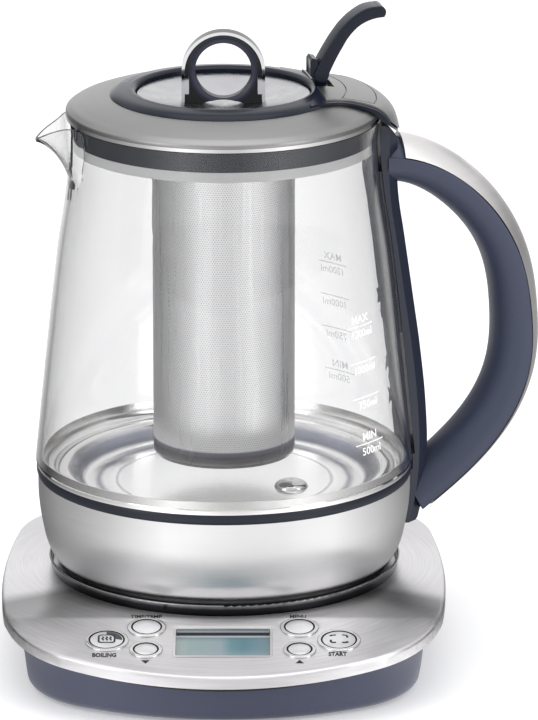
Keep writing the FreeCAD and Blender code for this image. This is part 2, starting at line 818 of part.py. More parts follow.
def handle_strap():
    strap = strap_block()
    strap = strap.cut(glass_block(pad_thick + seat_gap))
    strap = strap.cut(disc(glass_foot_radius + 0.15, skirt_top - 0.5, glass_foot + 0.5))
    strap = strap.cut(skirt_block(0.15))
    strap = strap.cut(Part.makeCylinder(1.6, 30, V(60, 0, strap_screw_height), V(1, 0, 0)))
    strap = strap.cut(Part.makeCylinder(3.2, 30, V(strap_screw_seat, 0, strap_screw_height), V(1, 0, 0)))
    return solid_of(strap)


def strap_pad():
    pad = glass_block(pad_thick).cut(glass_block(seat_gap))
    keep = Part.makeBox(60, pad_width, pad_high - pad_low, V(40, -pad_width / 2, pad_low))
    return solid_of(pad.common(keep))


def strap_screw():
    seat = strap_screw_seat + seat_gap
    head = Part.makeCylinder(3.0, 1.4, V(seat, 0, strap_screw_height), V(1, 0, 0))
    return head.fuse(Part.makeCylinder(1.5, seat + 0.5 - skirt_middle_radius,
                                       V(skirt_middle_radius, 0, strap_screw_height), V(1, 0, 0)))


# each station of the handle: a point on its inner line, one on its outer line, and the steel's depth there
handle_stations = [
    (point(64.0, 187.6), point(64.0, 207.2), 7.6),
    (point(79.5, 183.6), point(83.5, 202.6), 7.2),
    (point(92.5, 173.4), point(103.0, 189.4), 6.4),
    (point(103.8, 157.0), point(121.0, 163.6), 5.6),
    (point(108.8, 132.0), point(127.6, 133.0), 5.0),
    (point(106.4, 106.5), point(124.8, 101.5), 4.6),
    (point(96.5, 88.8), point(110.5, 76.4), 4.2),
    (point(84.0, 76.0), point(94.5, 60.6), 3.9),
    (point(72.0, 65.5), point(80.5, 49.6), 3.6),
]


def station_frame(station):
    inner, outer, steel = station
    depth = (outer - inner).Length
    out = (outer - inner).normalize()

    def place(u, v):
        return inner + out * u + V(0, v, 0)
    return place, depth, steel


def handle_grip():
    half = grip_width / 2
    wires = []
    for station in handle_stations:
        place, depth, steel = station_frame(station)
        edge, crest, land = depth - steel, depth - band_sheet, half - 1.2
        under = spline(place(edge, -half), place(edge * 0.5, -half * 0.97), place(edge * 0.12, -half * 0.6), place(0, 0),
                      place(edge * 0.12, half * 0.6), place(edge * 0.5, half * 0.97), place(edge, half))
        over = run(place(edge, half), place(edge, land)) + bend(place(edge, land), place(crest, 0), place(edge, -land)) \
            + run(place(edge, -land), place(edge, -half))
        wires.append(Part.Wire(under + over))
    grip = Part.makeLoft(wires, True, False)
    grip = grip.cut(strap_block()).cut(handle_band())
    return solid_of(max(grip.Solids, key=lambda s: s.Volume))


def handle_band():
    half = grip_width / 2
    wires = []
    for station in handle_stations:
        place, depth, steel = station_frame(station)
        edge, crest, land = depth - steel + band_gap, depth - band_sheet + 0.02, half - 1.2 + 0.02
        ring = bend(place(edge, -half), place(depth, 0), place(edge, half)) + run(place(edge, half), place(edge, land)) \
            + bend(place(edge, land), place(crest, 0), place(edge, -land)) + run(place(edge, -land), place(edge, -half))
        wires.append(Part.Wire(ring))
    band = Part.makeLoft(wires, True, False)
    band = band.cut(Part.makeBox(71.0, 60, 200, V(0, -30, 100)))
    band = band.cut(Part.makeBox(83.5, 60, 120, V(0, -30, 0)))
    return solid_of(max(band.Solids, key=lambda s: s.Volume))


# ---- the lid ----
def collar_line():
    """The dome's outer line from its lower edge to its crown."""
    return [point(collar_radius - 0.1, collar_edge), point(collar_radius, collar_edge + 0.9),
            point(collar_radius - 1.6, collar_edge + 2.5), point(collar_radius - 5.4, collar_edge + 4.1),
            point(collar_radius - 11, collar_edge + 5.7), point(lid_ring_radius - 1.4, collar_crown)]


def lid_collar():
    """The dome: a sheet whose inner line starts behind the tight curl of its lower edge."""
    outer = collar_line()
    inner = side_offset(outer, -collar_sheet)[2:]
    return turned(flat(curve(*outer), run(outer[-1], inner[-1]), curve(*reversed(inner)), run(inner[0], outer[0])))


def collar_space():
    """The space that the collar takes, and a little more."""
    line = side_offset(collar_line(), collar_clear)
    return turned(flat(curve(*line), run(line[-1], point(0, line[-1].z), point(0, line[0].z), line[0])))


def lid_trim():
    return washer(glass_rim_radius - glass_wall - 0.4, glass_rim_radius + 0.1, glass_rim + fit_gap, collar_edge - seat_gap)


def plug_radius():
    return glass_neck_radius - glass_wall - plug_gap


def lid_plug():
    outer, floor_low = plug_radius(), collar_edge
    wall = washer(outer - plug_wall, outer, plug_bottom, floor_low + 0.5)
    floor = washer(ledge_radius, collar_radius - collar_sheet - plug_floor_inset, floor_low, floor_low + 1.5)
    plug = wall.fuse(floor)
    for number in range(-2, 3):
        slot = Part.makeBox(30, 3.4, 5.4, V(-80, -1.7, plug_bottom + 1.4))
        slot.rotate(V(0, 0, 0), UP, number * 5.5)
        plug = plug.cut(slot)
    return solid_of(plug)


def lid_seal():
    outer = plug_radius()
    face = closed(point(outer - plug_wall, plug_bottom - seat_gap), point(outer, plug_bottom - seat_gap),
                  point(outer + 0.2, plug_bottom - seal_drop), point(outer - 1.0, plug_bottom - seal_drop))
    return turned(face)


def ring_section():
    """The lid ring: a wall round the opening with a lip that lies over the collar's inner edge."""
    low = collar_edge + 1.5 + seat_gap
    inner, outer, wall = opening_radius, lid_ring_radius, opening_radius + 2.4
    return flat(run(point(inner, low), point(inner, lid_ring_top - 0.8)),
                curve(point(inner, lid_ring_top - 0.8), point(inner + 0.8, lid_ring_top - 0.1),
                      point(inner + 4.5, lid_ring_top), point(outer - 1.2, lid_ring_top - 1.3),
                      point(outer, lid_ring_top - 2.3)),
                run(point(outer, lid_ring_top - 2.3), point(outer - 1.5, collar_crown + 0.1),
                    point(wall, collar_crown + 0.1), point(wall, low), point(inner, low)))


def tail_line():
    """The tail's outer line: it runs on from the lid ring over the collar and droops over the glass."""
    return [point(37.5, lid_ring_top - 0.1), point(42.5, lid_ring_top - 0.5), point(46.5, 226.6), point(54, 225.1),
            point(59, 223.8), point(63.2, 222.0), point(66.5, 219.0), point(68.5, 214.0), point(tail_reach, 207.6)]


def tail_block(drop):
    """The space under the tail's outer line, moved inwards by drop, all round the axis."""
    line = side_offset(tail_line(), drop)
    return turned(flat(curve(*line), run(line[-1], point(0, line[-1].z), point(0, line[0].z), line[0])))


def tail_plan(inset):
    """The tail's plan: it leaves the ring in a concave curve and widens towards its round end."""
    near, waist, far = V(29, 33.2 - inset, 0), V(43, tail_waist - inset, 0), V(66, tail_end - inset, 0)
    side = [near, V(36, (near.y + waist.y) / 2 - 1.0, 0), waist, V(53, tail_waist + 0.8 - inset, 0), far]
    other = [V(p.x, -p.y, 0) for p in reversed(side)]
    plan = flat(curve(*side), run(side[-1], other[0]), curve(*other), run(other[-1], side[0]))
    plan.translate(V(0, 0, 190))
    return plan.extrude(V(0, 0, 60)).fuse(Part.makeBox(30, 2 * side[-1].y, 60, V(side[-1].x, -side[-1].y, 190)))


def tail_underside(lift):
    """Everything below the tail's lower edge, which falls from the collar to the tip."""
    line = [point(50, 219.6 + lift), point(54.5, 219.2 + lift), point(58.8, 217.9 + lift), point(63, 214.9 + lift),
            point(66.5, 211.4 + lift), point(tail_reach + 2, 205.6 + lift)]
    return across(flat(curve(*line), run(line[-1], point(90, 200), point(90, 180), point(50, 180), line[0])), 100)


def tail_cover_block():
    """The silver cover: a shell let into the tail, with a straight front edge by the lever."""
    cover = tail_block(-cover_rise).cut(tail_block(cover_thick - cover_rise)).common(tail_plan(tail_rim))
    cover = cover.cut(tail_underside(tail_rim * 0.8))
    return cover.cut(Part.makeBox(100, 200, 300, V(cover_front - 100, -100, 0)))


def thumb_plan(inset):
    """The plan of the thumb pad: a piece of a ring with straight sides."""
    ring = washer(thumb_inner + inset, thumb_outer - inset, 190, 250)
    return ring.common(Part.makeBox(40, 2 * (thumb_half_width - inset), 60, V(40, -thumb_half_width + inset, 190)))


def lever_room():
    """The notch in the tail cover that the lever's root stands in."""
    half = lever_width / 2 + 1.2
    return Part.makeBox(9.0, 2 * half, 12, V(cover_front - 2, -half, lid_ring_top - 4))


def lever_lug():
    """The lug that the lever's fork holds, a plate with a round head."""
    px, pz, head = lever_pivot, lever_pivot_height, lug_head
    low = lid_ring_top - 1.5
    face = flat(run(point(px + head, pz), point(px + head + 0.3, low), point(px - head - 0.3, low), point(px - head, pz)),
                bend(point(px - head, pz), point(px, pz + head), point(px + head, pz)))
    return across(face, lug_width)


def lid_ring():
    ring = turned(ring_section())
    tail = tail_block(0).cut(tail_block(tail_sheet)).common(tail_plan(0)).cut(tail_underside(0))
    tail = tail.cut(collar_space()).cut(disc(opening_radius + 2.4, 0, 400))
    ring = ring.fuse(tail).cut(tail_cover_block())
    ring = ring.fuse(lever_lug()).cut(lever_pin_shape(0))
    return solid_of(ring)


def tail_cover():
    cover = tail_cover_block().cut(lever_room())
    groove = thumb_plan(0).cut(thumb_plan(0.5)).cut(tail_block(groove_depth - cover_rise))
    return solid_of(cover.cut(groove))


def lever_pin_shape(extra):
    length = lever_width - 1.0
    return Part.makeCylinder(lever_pin_radius + extra, length, V(lever_pivot, -length / 2, lever_pivot_height), V(0, 1, 0))


def lever():
    """The raised lever: a forked root, a cam towards the lid's opening, and an arm that curves over to its tip."""
    px, pz = lever_pivot, lever_pivot_height
    cheek = Part.makeCylinder(lever_root_radius, lever_width, V(px, -lever_width / 2, pz), V(0, 1, 0))
    start_a, start_b = point(px - lever_root_radius, pz + 0.4), point(px + lever_root_radius, pz - 0.2)
    upper = curve(start_a, point(40.4, 241.9), point(43.8, 247.3), point(47.8, 252.4), point(51.8, 255.9),
                  point(56.7, 258.6), point(61.0, 259.2))
    tip = bend(point(61.0, 259.2), point(64.3, 257.7), point(63.6, 254.7))
    lower = curve(point(63.6, 254.7), point(58.2, 253.8), point(54.1, 251.8), point(50.1, 248.0), point(46.4, 242.2), start_b)
    arm = across(flat(upper, tip, lower, run(start_b, start_a)), lever_width)
    arm = arm.makeFillet(0.8, [e for e in arm.Edges if e.BoundBox.YLength < 0.01 and middle_of(e).z > pz + 3])
    cam = across(flat(curve(point(px - 1.0, pz - 2.6), point(px - 4.4, pz - 0.6), point(px - 5.2, pz + 2.4),
                            point(px - 3.6, pz + 6.6)),
                      run(point(px - 3.6, pz + 6.6), point(px - 1.6, pz + 6.0), point(px - 1.0, pz - 2.6))),
                 lever_width - 2)
    shape = cheek.multiFuse([arm, cam])
    slot_width = lug_width + 2 * lug_gap
    head = Part.makeCylinder(lug_head + lug_gap, slot_width, V(px, -slot_width / 2, pz), V(0, 1, 0))
    sweep = across(closed(point(px - 3.4, pz), point(px - 3.4, pz - 8), point(px + 9, pz - 8), point(px + 9, pz - 0.6),
                          point(px + 3.6, pz + 1.8), point(px, pz + lug_head + lug_gap)), slot_width)
    shape = shape.cut(head).cut(sweep).cut(lever_pin_shape(lever_pin_gap))
    return solid_of(shape.cut(disc(cap_radius + cap_pass, lid_ring_top - 10, 300)))


# ---- the strainer, its cap and the knob ----
def strainer_tube():
    return washer(strainer_radius - strainer_sheet, strainer_radius, strainer_bottom + 1.2, collar_edge + 1.5)


def strainer_base():
    inner = strainer_radius - strainer_sheet - seat_gap
    pan = disc(inner, strainer_bottom, strainer_bottom + 0.8)
    return solid_of(pan.fuse(washer(inner - 0.8, inner, strainer_bottom, strainer_bottom + strainer_band)))


def strainer_rim():
    low = collar_edge + 1.5 + seat_gap
    flange = washer(strainer_radius - strainer_sheet, opening_radius - 0.6, low, low + flange_thick)
    return flange


def dish_depth(radius):
    """Height of the cap's polished top at a radius."""
    return cap_edge - cap_dish * (1 - (radius / cap_radius) ** 2)


def cap_line(drop):
    return [point(0, dish_depth(0) - drop), point(cap_radius * 0.35, dish_depth(cap_radius * 0.35) - drop),
            point(cap_radius * 0.7, dish_depth(cap_radius * 0.7) - drop), point(cap_radius, cap_edge - drop)]


def cap_disc():
    top, under = cap_line(0), cap_line(cap_sheet)
    sheet = turned(flat(curve(*top), run(top[-1], under[-1]), curve(*reversed(under)), run(under[0], top[0])))
    return solid_of(sheet.cut(knob_screw_holes()))


def cap_plug():
    seat = collar_edge + 1.5 + seat_gap + flange_thick + 0.2
    stem = strainer_radius - strainer_sheet - 1.4
    under = cap_line(cap_sheet + seat_gap)
    outer = cap_radius - 0.3
    edge = point(outer, dish_depth(outer) - cap_sheet - seat_gap)
    top = [under[0], under[1], under[2], edge]
    face = flat(curve(*top), run(edge, point(outer, seat), point(stem, seat), point(stem, seat - 2.0),
                                 point(stem - 1.4, seat - 2.0), point(stem - 1.4, seat - 4.0), point(stem, seat - 4.0),
                                 point(stem, seat - cap_stem_depth), point(0, seat - cap_stem_depth), under[0]))
    return solid_of(turned(face).cut(knob_screw_holes()))


def cap_seal():
    seat = collar_edge + 1.5 + seat_gap + flange_thick + 0.2
    stem = strainer_radius - strainer_sheet - 1.4
    return washer(stem - 1.4 + seat_gap, stem + 1.1, seat - 4.0 + seat_gap, seat - 2.0 - seat_gap)


def knob_shape(radius, width):
    """A D standing on the cap: a half disc on a block that reaches below the cap's top."""
    low = dish_depth(0) - 0.5
    face = flat(bend(point(-radius, knob_centre), point(0, knob_centre + radius), point(radius, knob_centre)),
                run(point(radius, knob_centre), point(radius, low), point(-radius, low), point(-radius, knob_centre)))
    return across(face, width)


def cap_space():
    top = cap_line(-seat_gap)
    return turned(flat(curve(*top), run(top[-1], point(cap_radius, 200), point(0, 200), top[0])))


def knob_notches(extra):
    depth, height = knob_notch_depth + extra, knob_notch_high - knob_notch_low + 2 * extra
    width = knob_core_width + 2 * extra
    inner = knob_radius - knob_band_sheet - depth
    left = Part.makeBox(depth + 0.4, width, height, V(-inner - depth - 0.4, -width / 2, knob_notch_low - extra))
    return [left, left.mirror(V(0, 0, 0), V(1, 0, 0))]


def knob_band():
    band = knob_shape(knob_radius, knob_band_width).cut(knob_shape(knob_radius - knob_band_sheet, 60))
    return solid_of(band.multiFuse(knob_notches(0)).cut(cap_space()))


def knob_core():
    core = knob_shape(knob_radius - knob_band_sheet - seat_gap, knob_core_width)
    half, edge = knob_lip_width / 2, knob_core_width / 2 - 0.3
    lip = Part.makeCylinder(knob_hole + knob_lip, knob_lip_width, V(0, -half, knob_hole_centre), V(0, 1, 0))
    bevel = Part.makeCone(knob_hole, knob_hole + knob_lip - 0.3, half - edge, V(0, edge, knob_hole_centre), V(0, 1, 0))
    core = core.fuse(lip).common(knob_shape(knob_radius - knob_band_sheet - seat_gap, 60))
    core = core.cut(bevel).cut(bevel.mirror(V(0, 0, 0), V(0, 1, 0)))
    core = core.cut(Part.makeCylinder(knob_hole, 40, V(0, -20, knob_hole_centre), V(0, 1, 0)))
    low = dish_depth(0)
    arch = across(flat(bend(point(-knob_arch, low + 0.3), point(0, low + knob_arch_rise), point(knob_arch, low + 0.3)),
                       run(point(knob_arch, low + 0.3), point(knob_arch, low - 3), point(-knob_arch, low - 3),
                           point(-knob_arch, low + 0.3))), 40)
    core = core.cut(arch).cut(cap_space()).cut(knob_screw_holes())
    for notch in knob_notches(seat_gap):
        core = core.cut(notch)
    return solid_of(core)


def knob_screw(x, extra):
    low = collar_edge - cap_stem_depth + 6
    head = Part.makeCylinder(2.5 + extra, 1.4 + extra, V(x, 0, low))
    return head.fuse(Part.makeCylinder(1.3 + extra, 9.0 + extra, V(x, 0, low)))


def knob_screws():
    return group([knob_screw(-knob_leg, 0), knob_screw(knob_leg, 0)])


def knob_screw_holes():
    low = collar_edge - cap_stem_depth + 6
    holes = [knob_screw(x, seat_gap) for x in (-knob_leg, knob_leg)]
    return group(holes + [Part.makeCylinder(2.5 + seat_gap, 20, V(x, 0, low + 0.5 - 20)) for x in (-knob_leg, knob_leg)])


def build():
    base = {
        "base_housing": base_housing(), "base_top_plate": base_top_plate(), "base_bottom_cover": base_bottom_cover(),
        "rubber_feet": group(foot_shapes()), "foot_ring": foot_ring_shape(), "base_screws": base_screws(),
        "seat_ring": seat_ring(), "seat_dish": seat_dish(), "base_connector": base_connector(),
        "connector_contacts": connector_contacts(), "display_bezel": display_bezel(), "display_lens": display_lens(),
        "lcd_module": lcd_module(), "button_frame": button_frame(), "button_rings": button_rings(),
        "control_board": control_board(), "tact_switches": tact_switches(), "power_board": power_board(),
        "relay": relay(), "cord_gland": cord_gland(),
    }
    for name, place in buttons.items():
        base[name] = button(*place)
    turned_pieces = {
        "kettle_connector": kettle_connector(), "glass_jug": glass_jug(), "steel_skirt": steel_skirt(),
        "skirt_ring": skirt_ring(), "heating_dish": heating_dish(), "dish_seal": dish_seal(),
        "heating_element": heating_element(), "thermal_cutout": thermal_cutout(), "sensor_dome": sensor_dome(),
        "kettle_bottom_cover": kettle_bottom_cover(), "kettle_screws": kettle_screws(), "handle_strap": handle_strap(),
        "strap_pad": strap_pad(), "strap_screw": strap_screw(), "handle_grip": handle_grip(),
        "handle_band": handle_band(), "lid_collar": lid_collar(), "lid_trim": lid_trim(), "lid_plug": lid_plug(),
        "lid_seal": lid_seal(), "lid_ring": lid_ring(), "tail_cover": tail_cover(), "lever_pin": lever_pin_shape(0),
        "lever": lever(),
    }
    upright = {
        "strainer_tube": strainer_tube(), "strainer_rim": strainer_rim(), "strainer_base": strainer_base(),
        "cap_disc": cap_disc(), "cap_plug": cap_plug(), "cap_seal": cap_seal(), "knob_core": knob_core(),
        "knob_band": knob_band(), "knob_screws": knob_screws(),
    }
    pieces = dict(base)
    pieces.update({name: yawed(shape) for name, shape in turned_pieces.items()})
    pieces.update(upright)
    return pieces


os.makedirs("parts", exist_ok=True)
for name, shape in build().items():
    shape.exportStep("parts/" + name + ".step")
    print(name, len(shape.Solids), shape.isValid(), round(shape.Volume, 1))
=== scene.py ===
import math

import bmesh
import bpy
from mathutils import Matrix, Vector
from mathutils.bvhtree import BVHTree


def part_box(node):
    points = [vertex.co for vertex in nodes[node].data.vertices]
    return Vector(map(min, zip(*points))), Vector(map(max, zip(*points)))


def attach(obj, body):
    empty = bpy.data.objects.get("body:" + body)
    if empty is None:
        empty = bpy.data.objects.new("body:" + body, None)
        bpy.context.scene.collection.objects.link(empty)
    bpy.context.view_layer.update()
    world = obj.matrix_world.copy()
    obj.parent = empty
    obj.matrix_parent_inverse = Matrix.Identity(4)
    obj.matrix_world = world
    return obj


# An automatic tea maker: a glass kettle with a tea strainer on a steel-topped electric base.
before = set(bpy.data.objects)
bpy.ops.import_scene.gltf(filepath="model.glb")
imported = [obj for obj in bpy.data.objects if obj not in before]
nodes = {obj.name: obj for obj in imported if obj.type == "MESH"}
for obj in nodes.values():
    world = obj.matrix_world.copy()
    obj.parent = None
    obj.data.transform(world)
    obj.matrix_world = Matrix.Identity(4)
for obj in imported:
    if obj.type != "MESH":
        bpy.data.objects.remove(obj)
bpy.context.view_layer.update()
mm = 0.001
scene = bpy.context.scene
PANEL_BEND, PANEL_SLOPE = -72 * mm, math.radians(10.5)
SEAT_LEVEL = 31.3 * mm
OUTER_BUTTON_X, OUTER_DROP, INNER_BUTTON_X = 45.3, 18.2, 29.9
KNOB_HEIGHT = 235.3 * mm
# Depth and slope of the painted shadow under the steel plate's edge.
PAINTED_SHADOW_DEPTH, PAINTED_SHADOW_FALL = 6.3 * mm, 0.285
JUG_RADIUS, PRINT_LIFT, CAPITAL_SHARE = 66 * mm, 0.6, 0.70
ABOVE_PANEL, BESIDE_JUG, ABOVE_LID = 20 * mm, 150 * mm, 260 * mm
FLOOR_LIFT, ROOM_LEVEL, ROOM_BLUE = 0.26, 1.7, 1.01
CAMERA_PLACE, CAMERA_DOWN, CAMERA_LENS = (0.018, -2.400, 0.8199), 16.35, 312.8


# ---- small helpers ----
def linear(code):
    """An sRGB hex colour as the linear colour that the shaders take."""
    parts = [int(code[i:i + 2], 16) / 255 for i in (1, 3, 5)]
    return tuple(p / 12.92 if p <= 0.04045 else ((p + 0.055) / 1.055) ** 2.4 for p in parts) + (1.0,)


def add(tree, kind, inputs=None, stops=None, **settings):
    """One node with its settings, its inputs (values or other nodes' outputs) and a ramp's (place, colour)
    stops, whose colours are linear or hex codes."""
    node = tree.nodes.new(kind)
    for name, value in settings.items():
        setattr(node, name, value)
    for i, (place, colour) in enumerate(stops or ()):
        points = node.color_ramp.elements
        point = points[i] if i < len(points) else points.new(place)
        point.position = place
        point.color = linear(colour) if isinstance(colour, str) else colour
    for name, value in (inputs or {}).items():
        if isinstance(value, bpy.types.NodeSocket):
            tree.links.new(value, node.inputs[name])
        else:
            node.inputs[name].default_value = value
    return node


def finish_of(name, shader="ShaderNodeBsdfPrincipled", **inputs):
    """A new material with one surface shader, whose even numbers and colours are set on its own sockets."""
    made = bpy.data.materials.new(name)
    made.use_nodes = True
    tree = made.node_tree
    tree.nodes.clear()
    surface = add(tree, shader, inputs)
    add(tree, "ShaderNodeOutputMaterial", {"Surface": surface.outputs[0]})
    return made, tree, surface


def toned(code, factor):
    """The colour made darker or lighter by the factor."""
    return tuple(min(1.0, part * factor) for part in linear(code)[:3]) + (1.0,)


def greys(levels, blue=1.0):
    """The (place, level) pairs as a ramp's grey stops."""
    return [(place, (level, level, level * blue, 1)) for place, level in levels]


def grain_of(tree, surface, size, height):
    """A fine moulded or blasted grain of the given size and height in metres, as bump."""
    place = add(tree, "ShaderNodeTexCoord").outputs["Object"]
    noise = add(tree, "ShaderNodeTexNoise", {"Vector": place, "Scale": 1.0 / size, "Detail": 3.0})
    bump = add(tree, "ShaderNodeBump", {"Height": noise.outputs["Fac"], "Distance": height, "Strength": 1.0})
    tree.links.new(bump.outputs["Normal"], surface.inputs["Normal"])
    return noise.outputs["Fac"]


def round_coordinates(tree, round_scale, radial_scale, height_scale):
    """Coordinates about the kettle's axis: angle, distance from the axis and height, each with a scale."""
    place = add(tree, "ShaderNodeTexCoord").outputs["Object"]
    parts = add(tree, "ShaderNodeSeparateXYZ", {"Vector": place})
    angle = add(tree, "ShaderNodeMath", {0: parts.outputs["Y"], 1: parts.outputs["X"]}, operation="ARCTAN2")
    flat = add(tree, "ShaderNodeVectorMath", {0: place, 1: (1.0, 1.0, 0.0)}, operation="MULTIPLY")
    reach = add(tree, "ShaderNodeVectorMath", {0: flat.outputs[0]}, operation="LENGTH")
    scaled = [add(tree, "ShaderNodeMath", {0: source, 1: scale}, operation="MULTIPLY").outputs[0]
              for source, scale in ((angle.outputs[0], round_scale), (reach.outputs["Value"], radial_scale),
                                    (parts.outputs["Z"], height_scale))]
    joined = add(tree, "ShaderNodeCombineXYZ", {0: scaled[0], 1: scaled[1], 2: scaled[2]})
    return place, joined.outputs[0]


def tangent_out(tree, place):
    """The direction away from the kettle's axis, square to a brushing that runs round it."""
    flat = add(tree, "ShaderNodeVectorMath", {0: place, 1: (1.0, 1.0, 0.0)}, operation="MULTIPLY")
    return add(tree, "ShaderNodeVectorMath", {0: flat.outputs[0]}, operation="NORMALIZE").outputs[0]


def by_direction(tree, way, stops, blue=1.0):
    """A grey that follows a vector's compass direction, from stops of (degrees from the front, level), and
    its Z."""
    parts = add(tree, "ShaderNodeSeparateXYZ", {"Vector": way})
    front = add(tree, "ShaderNodeMath", {0: parts.outputs["Y"], 1: -1.0}, operation="MULTIPLY")
    angle = add(tree, "ShaderNodeMath", {0: parts.outputs["X"], 1: front.outputs[0]}, operation="ARCTAN2")
    place = add(tree, "ShaderNodeMapRange", {"Value": angle.outputs[0], "From Min": -math.pi,
                                             "From Max": math.pi})
    shade = add(tree, "ShaderNodeValToRGB", {"Fac": place.outputs["Result"]},
                stops=greys([((degrees + 180) / 360, level) for degrees, level in stops], blue))
    return shade.outputs["Color"], parts.outputs["Z"]


def coloured_by(tree, surface, value, stops):
    """Colours the surface from a ramp over the value."""
    shade = add(tree, "ShaderNodeValToRGB", {"Fac": value}, stops)
    tree.links.new(shade.outputs["Color"], surface.inputs["Base Color"])


def roughened_by(tree, surface, value, span, levels):
    """Takes the surface's roughness from the first level to the second as the value crosses the span."""
    rough = add(tree, "ShaderNodeMapRange", {"Value": value, "From Min": span[0], "From Max": span[1],
                                             "To Min": levels[0], "To Max": levels[1]})
    tree.links.new(rough.outputs["Result"], surface.inputs["Roughness"])


def clouded(tree, value, place, size, amount, detail):
    """The value made uneven by a cloudy noise: clouds of the size in metres that add up to the amount."""
    haze = add(tree, "ShaderNodeTexNoise", {"Vector": place, "Scale": 1.0 / size, "Detail": detail})
    return add(tree, "ShaderNodeMath", {0: haze.outputs["Fac"], 1: amount, 2: value},
               operation="MULTIPLY_ADD").outputs[0]


# ---- finishes ----
def satin_polypropylene(name, colour, roughness, grain, gloss=0.5, painted_shadow_depth=0.0):
    """Injection-moulded polypropylene: dark blue-grey with a fine even grain that spreads the highlights.
    With a painted shadow depth it is painted black down to that depth under the steel plate's edge: a
    painted shadow where the joint between the two lies in shade."""
    made, tree, surface = finish_of(name, Roughness=roughness, IOR=1.49, **{"Specular IOR Level": gloss})
    speck = grain_of(tree, surface, 0.5 * mm, grain)
    shade = add(tree, "ShaderNodeValToRGB", {"Fac": speck},
                stops=((0.3, toned(colour, 0.93)), (0.7, toned(colour, 1.07)))).outputs["Color"]
    # Painted shadow: black under the plate's edge down to the given depth.
    if painted_shadow_depth:
        place = add(tree, "ShaderNodeTexCoord").outputs["Object"]
        parts = add(tree, "ShaderNodeSeparateXYZ", {"Vector": place})
        past = add(tree, "ShaderNodeMath", {0: parts.outputs["Y"], 1: -PANEL_BEND},
                   operation="ADD").outputs[0]
        past = add(tree, "ShaderNodeMath", {0: past, 1: 0.0}, operation="MINIMUM").outputs[0]
        top = add(tree, "ShaderNodeMath", {0: past, 1: PAINTED_SHADOW_FALL, 2: SEAT_LEVEL}, operation="MULTIPLY_ADD")
        depth = add(tree, "ShaderNodeMath", {0: top.outputs[0], 1: parts.outputs["Z"]}, operation="SUBTRACT")
        clear = add(tree, "ShaderNodeMapRange", {"Value": depth.outputs[0], "From Min": painted_shadow_depth - 0.5 * mm,
                                                 "From Max": painted_shadow_depth, "To Min": 0.0, "To Max": 1.0})
        shade = add(tree, "ShaderNodeMix", {0: clear.outputs["Result"], 6: linear("#050507"), 7: shade},
                    data_type="RGBA").outputs[2]
    tree.links.new(shade, surface.inputs["Base Color"])
    return made


def brushed_steel(name, colour, roughness, hairline, run_length, streak, cloud, sheen, upright=False,
                  soft_edge=0.0, fans=None, climb=None):
    """Stainless steel brushed round the kettle's axis: hairlines that stretch each highlight square to them,
    over slow clouds where the belt pressed harder. Sizes are in metres, run_length along the hairlines. Real
    hairlines are about 0.05 mm apart and are drawn coarser so that they show. soft_edge rounds the shading
    over the plate's bend. fans tones the steel by compass direction and climb by height: both stand in for
    the broad reflections that brushing gathers, and are part of the colour from every side."""
    made, tree, surface = finish_of(name, Metallic=1.0, Anisotropic=sheen)
    across, along = (0.02, 1.0) if upright else (1.0, 0.2)
    place, rings = round_coordinates(tree, 0.07 / run_length, across / hairline, along / hairline)
    lines = add(tree, "ShaderNodeTexNoise", {"Vector": rings, "Scale": 1.0, "Detail": 2.0, "Roughness": 0.5})
    clouds = add(tree, "ShaderNodeTexNoise", {"Vector": place, "Scale": 1.0 / (18 * mm), "Detail": 2.0})
    parts = add(tree, "ShaderNodeSeparateXYZ", {"Vector": place})
    shade = add(tree, "ShaderNodeValToRGB", {"Fac": lines.outputs["Fac"]},
                stops=((0.30, toned(colour, 1 - streak)), (0.70, toned(colour, 1 + streak)))).outputs["Color"]
    layers = [add(tree, "ShaderNodeValToRGB", {"Fac": clouds.outputs["Fac"]},
                  stops=greys(((0.35, 1 - cloud), (0.65, 1)))).outputs["Color"]]
    if fans:
        layers.append(by_direction(tree, place, fans)[0])
    if climb:
        low, high, tones = climb
        height = add(tree, "ShaderNodeMapRange", {"Value": parts.outputs["Z"], "From Min": low,
                                                  "From Max": high})
        layers.append(add(tree, "ShaderNodeValToRGB", {"Fac": height.outputs["Result"]},
                          stops=greys(tones)).outputs["Color"])
    for layer in layers:
        shade = add(tree, "ShaderNodeMix", {0: 1.0, 6: shade, 7: layer}, data_type="RGBA",
                    blend_type="MULTIPLY").outputs[2]
    tree.links.new(shade, surface.inputs["Base Color"])
    roughened_by(tree, surface, lines.outputs["Fac"], (0.3, 0.7), (roughness - 0.03, roughness + 0.03))
    bump = add(tree, "ShaderNodeBump", {"Height": lines.outputs["Fac"], "Distance": 0.001 * mm,
                                        "Strength": 0.5})
    if soft_edge:
        fade_end = soft_edge + 5 * mm
        off = add(tree, "ShaderNodeMath", {0: parts.outputs["Y"], 1: -PANEL_BEND}, operation="ADD").outputs[0]
        off = add(tree, "ShaderNodeMath", {0: off}, operation="ABSOLUTE").outputs[0]
        near = add(tree, "ShaderNodeMapRange", {"Value": off, "From Min": soft_edge, "From Max": fade_end,
                                                "To Min": 1.0, "To Max": 0.0}).outputs["Result"]
        sharp = add(tree, "ShaderNodeNewGeometry").outputs["Normal"]
        soft = add(tree, "ShaderNodeBevel", {"Radius": soft_edge}, samples=6).outputs[0]
        mixed = add(tree, "ShaderNodeMix", {0: near, 4: sharp, 5: soft}, data_type="VECTOR").outputs[1]
        tree.links.new(mixed, bump.inputs["Normal"])
    tree.links.new(bump.outputs["Normal"], surface.inputs["Normal"])
    if upright:
        surface.inputs["Tangent"].default_value = (0.0, 0.0, 1.0)
    else:
        tree.links.new(tangent_out(tree, place), surface.inputs["Tangent"])
    return made


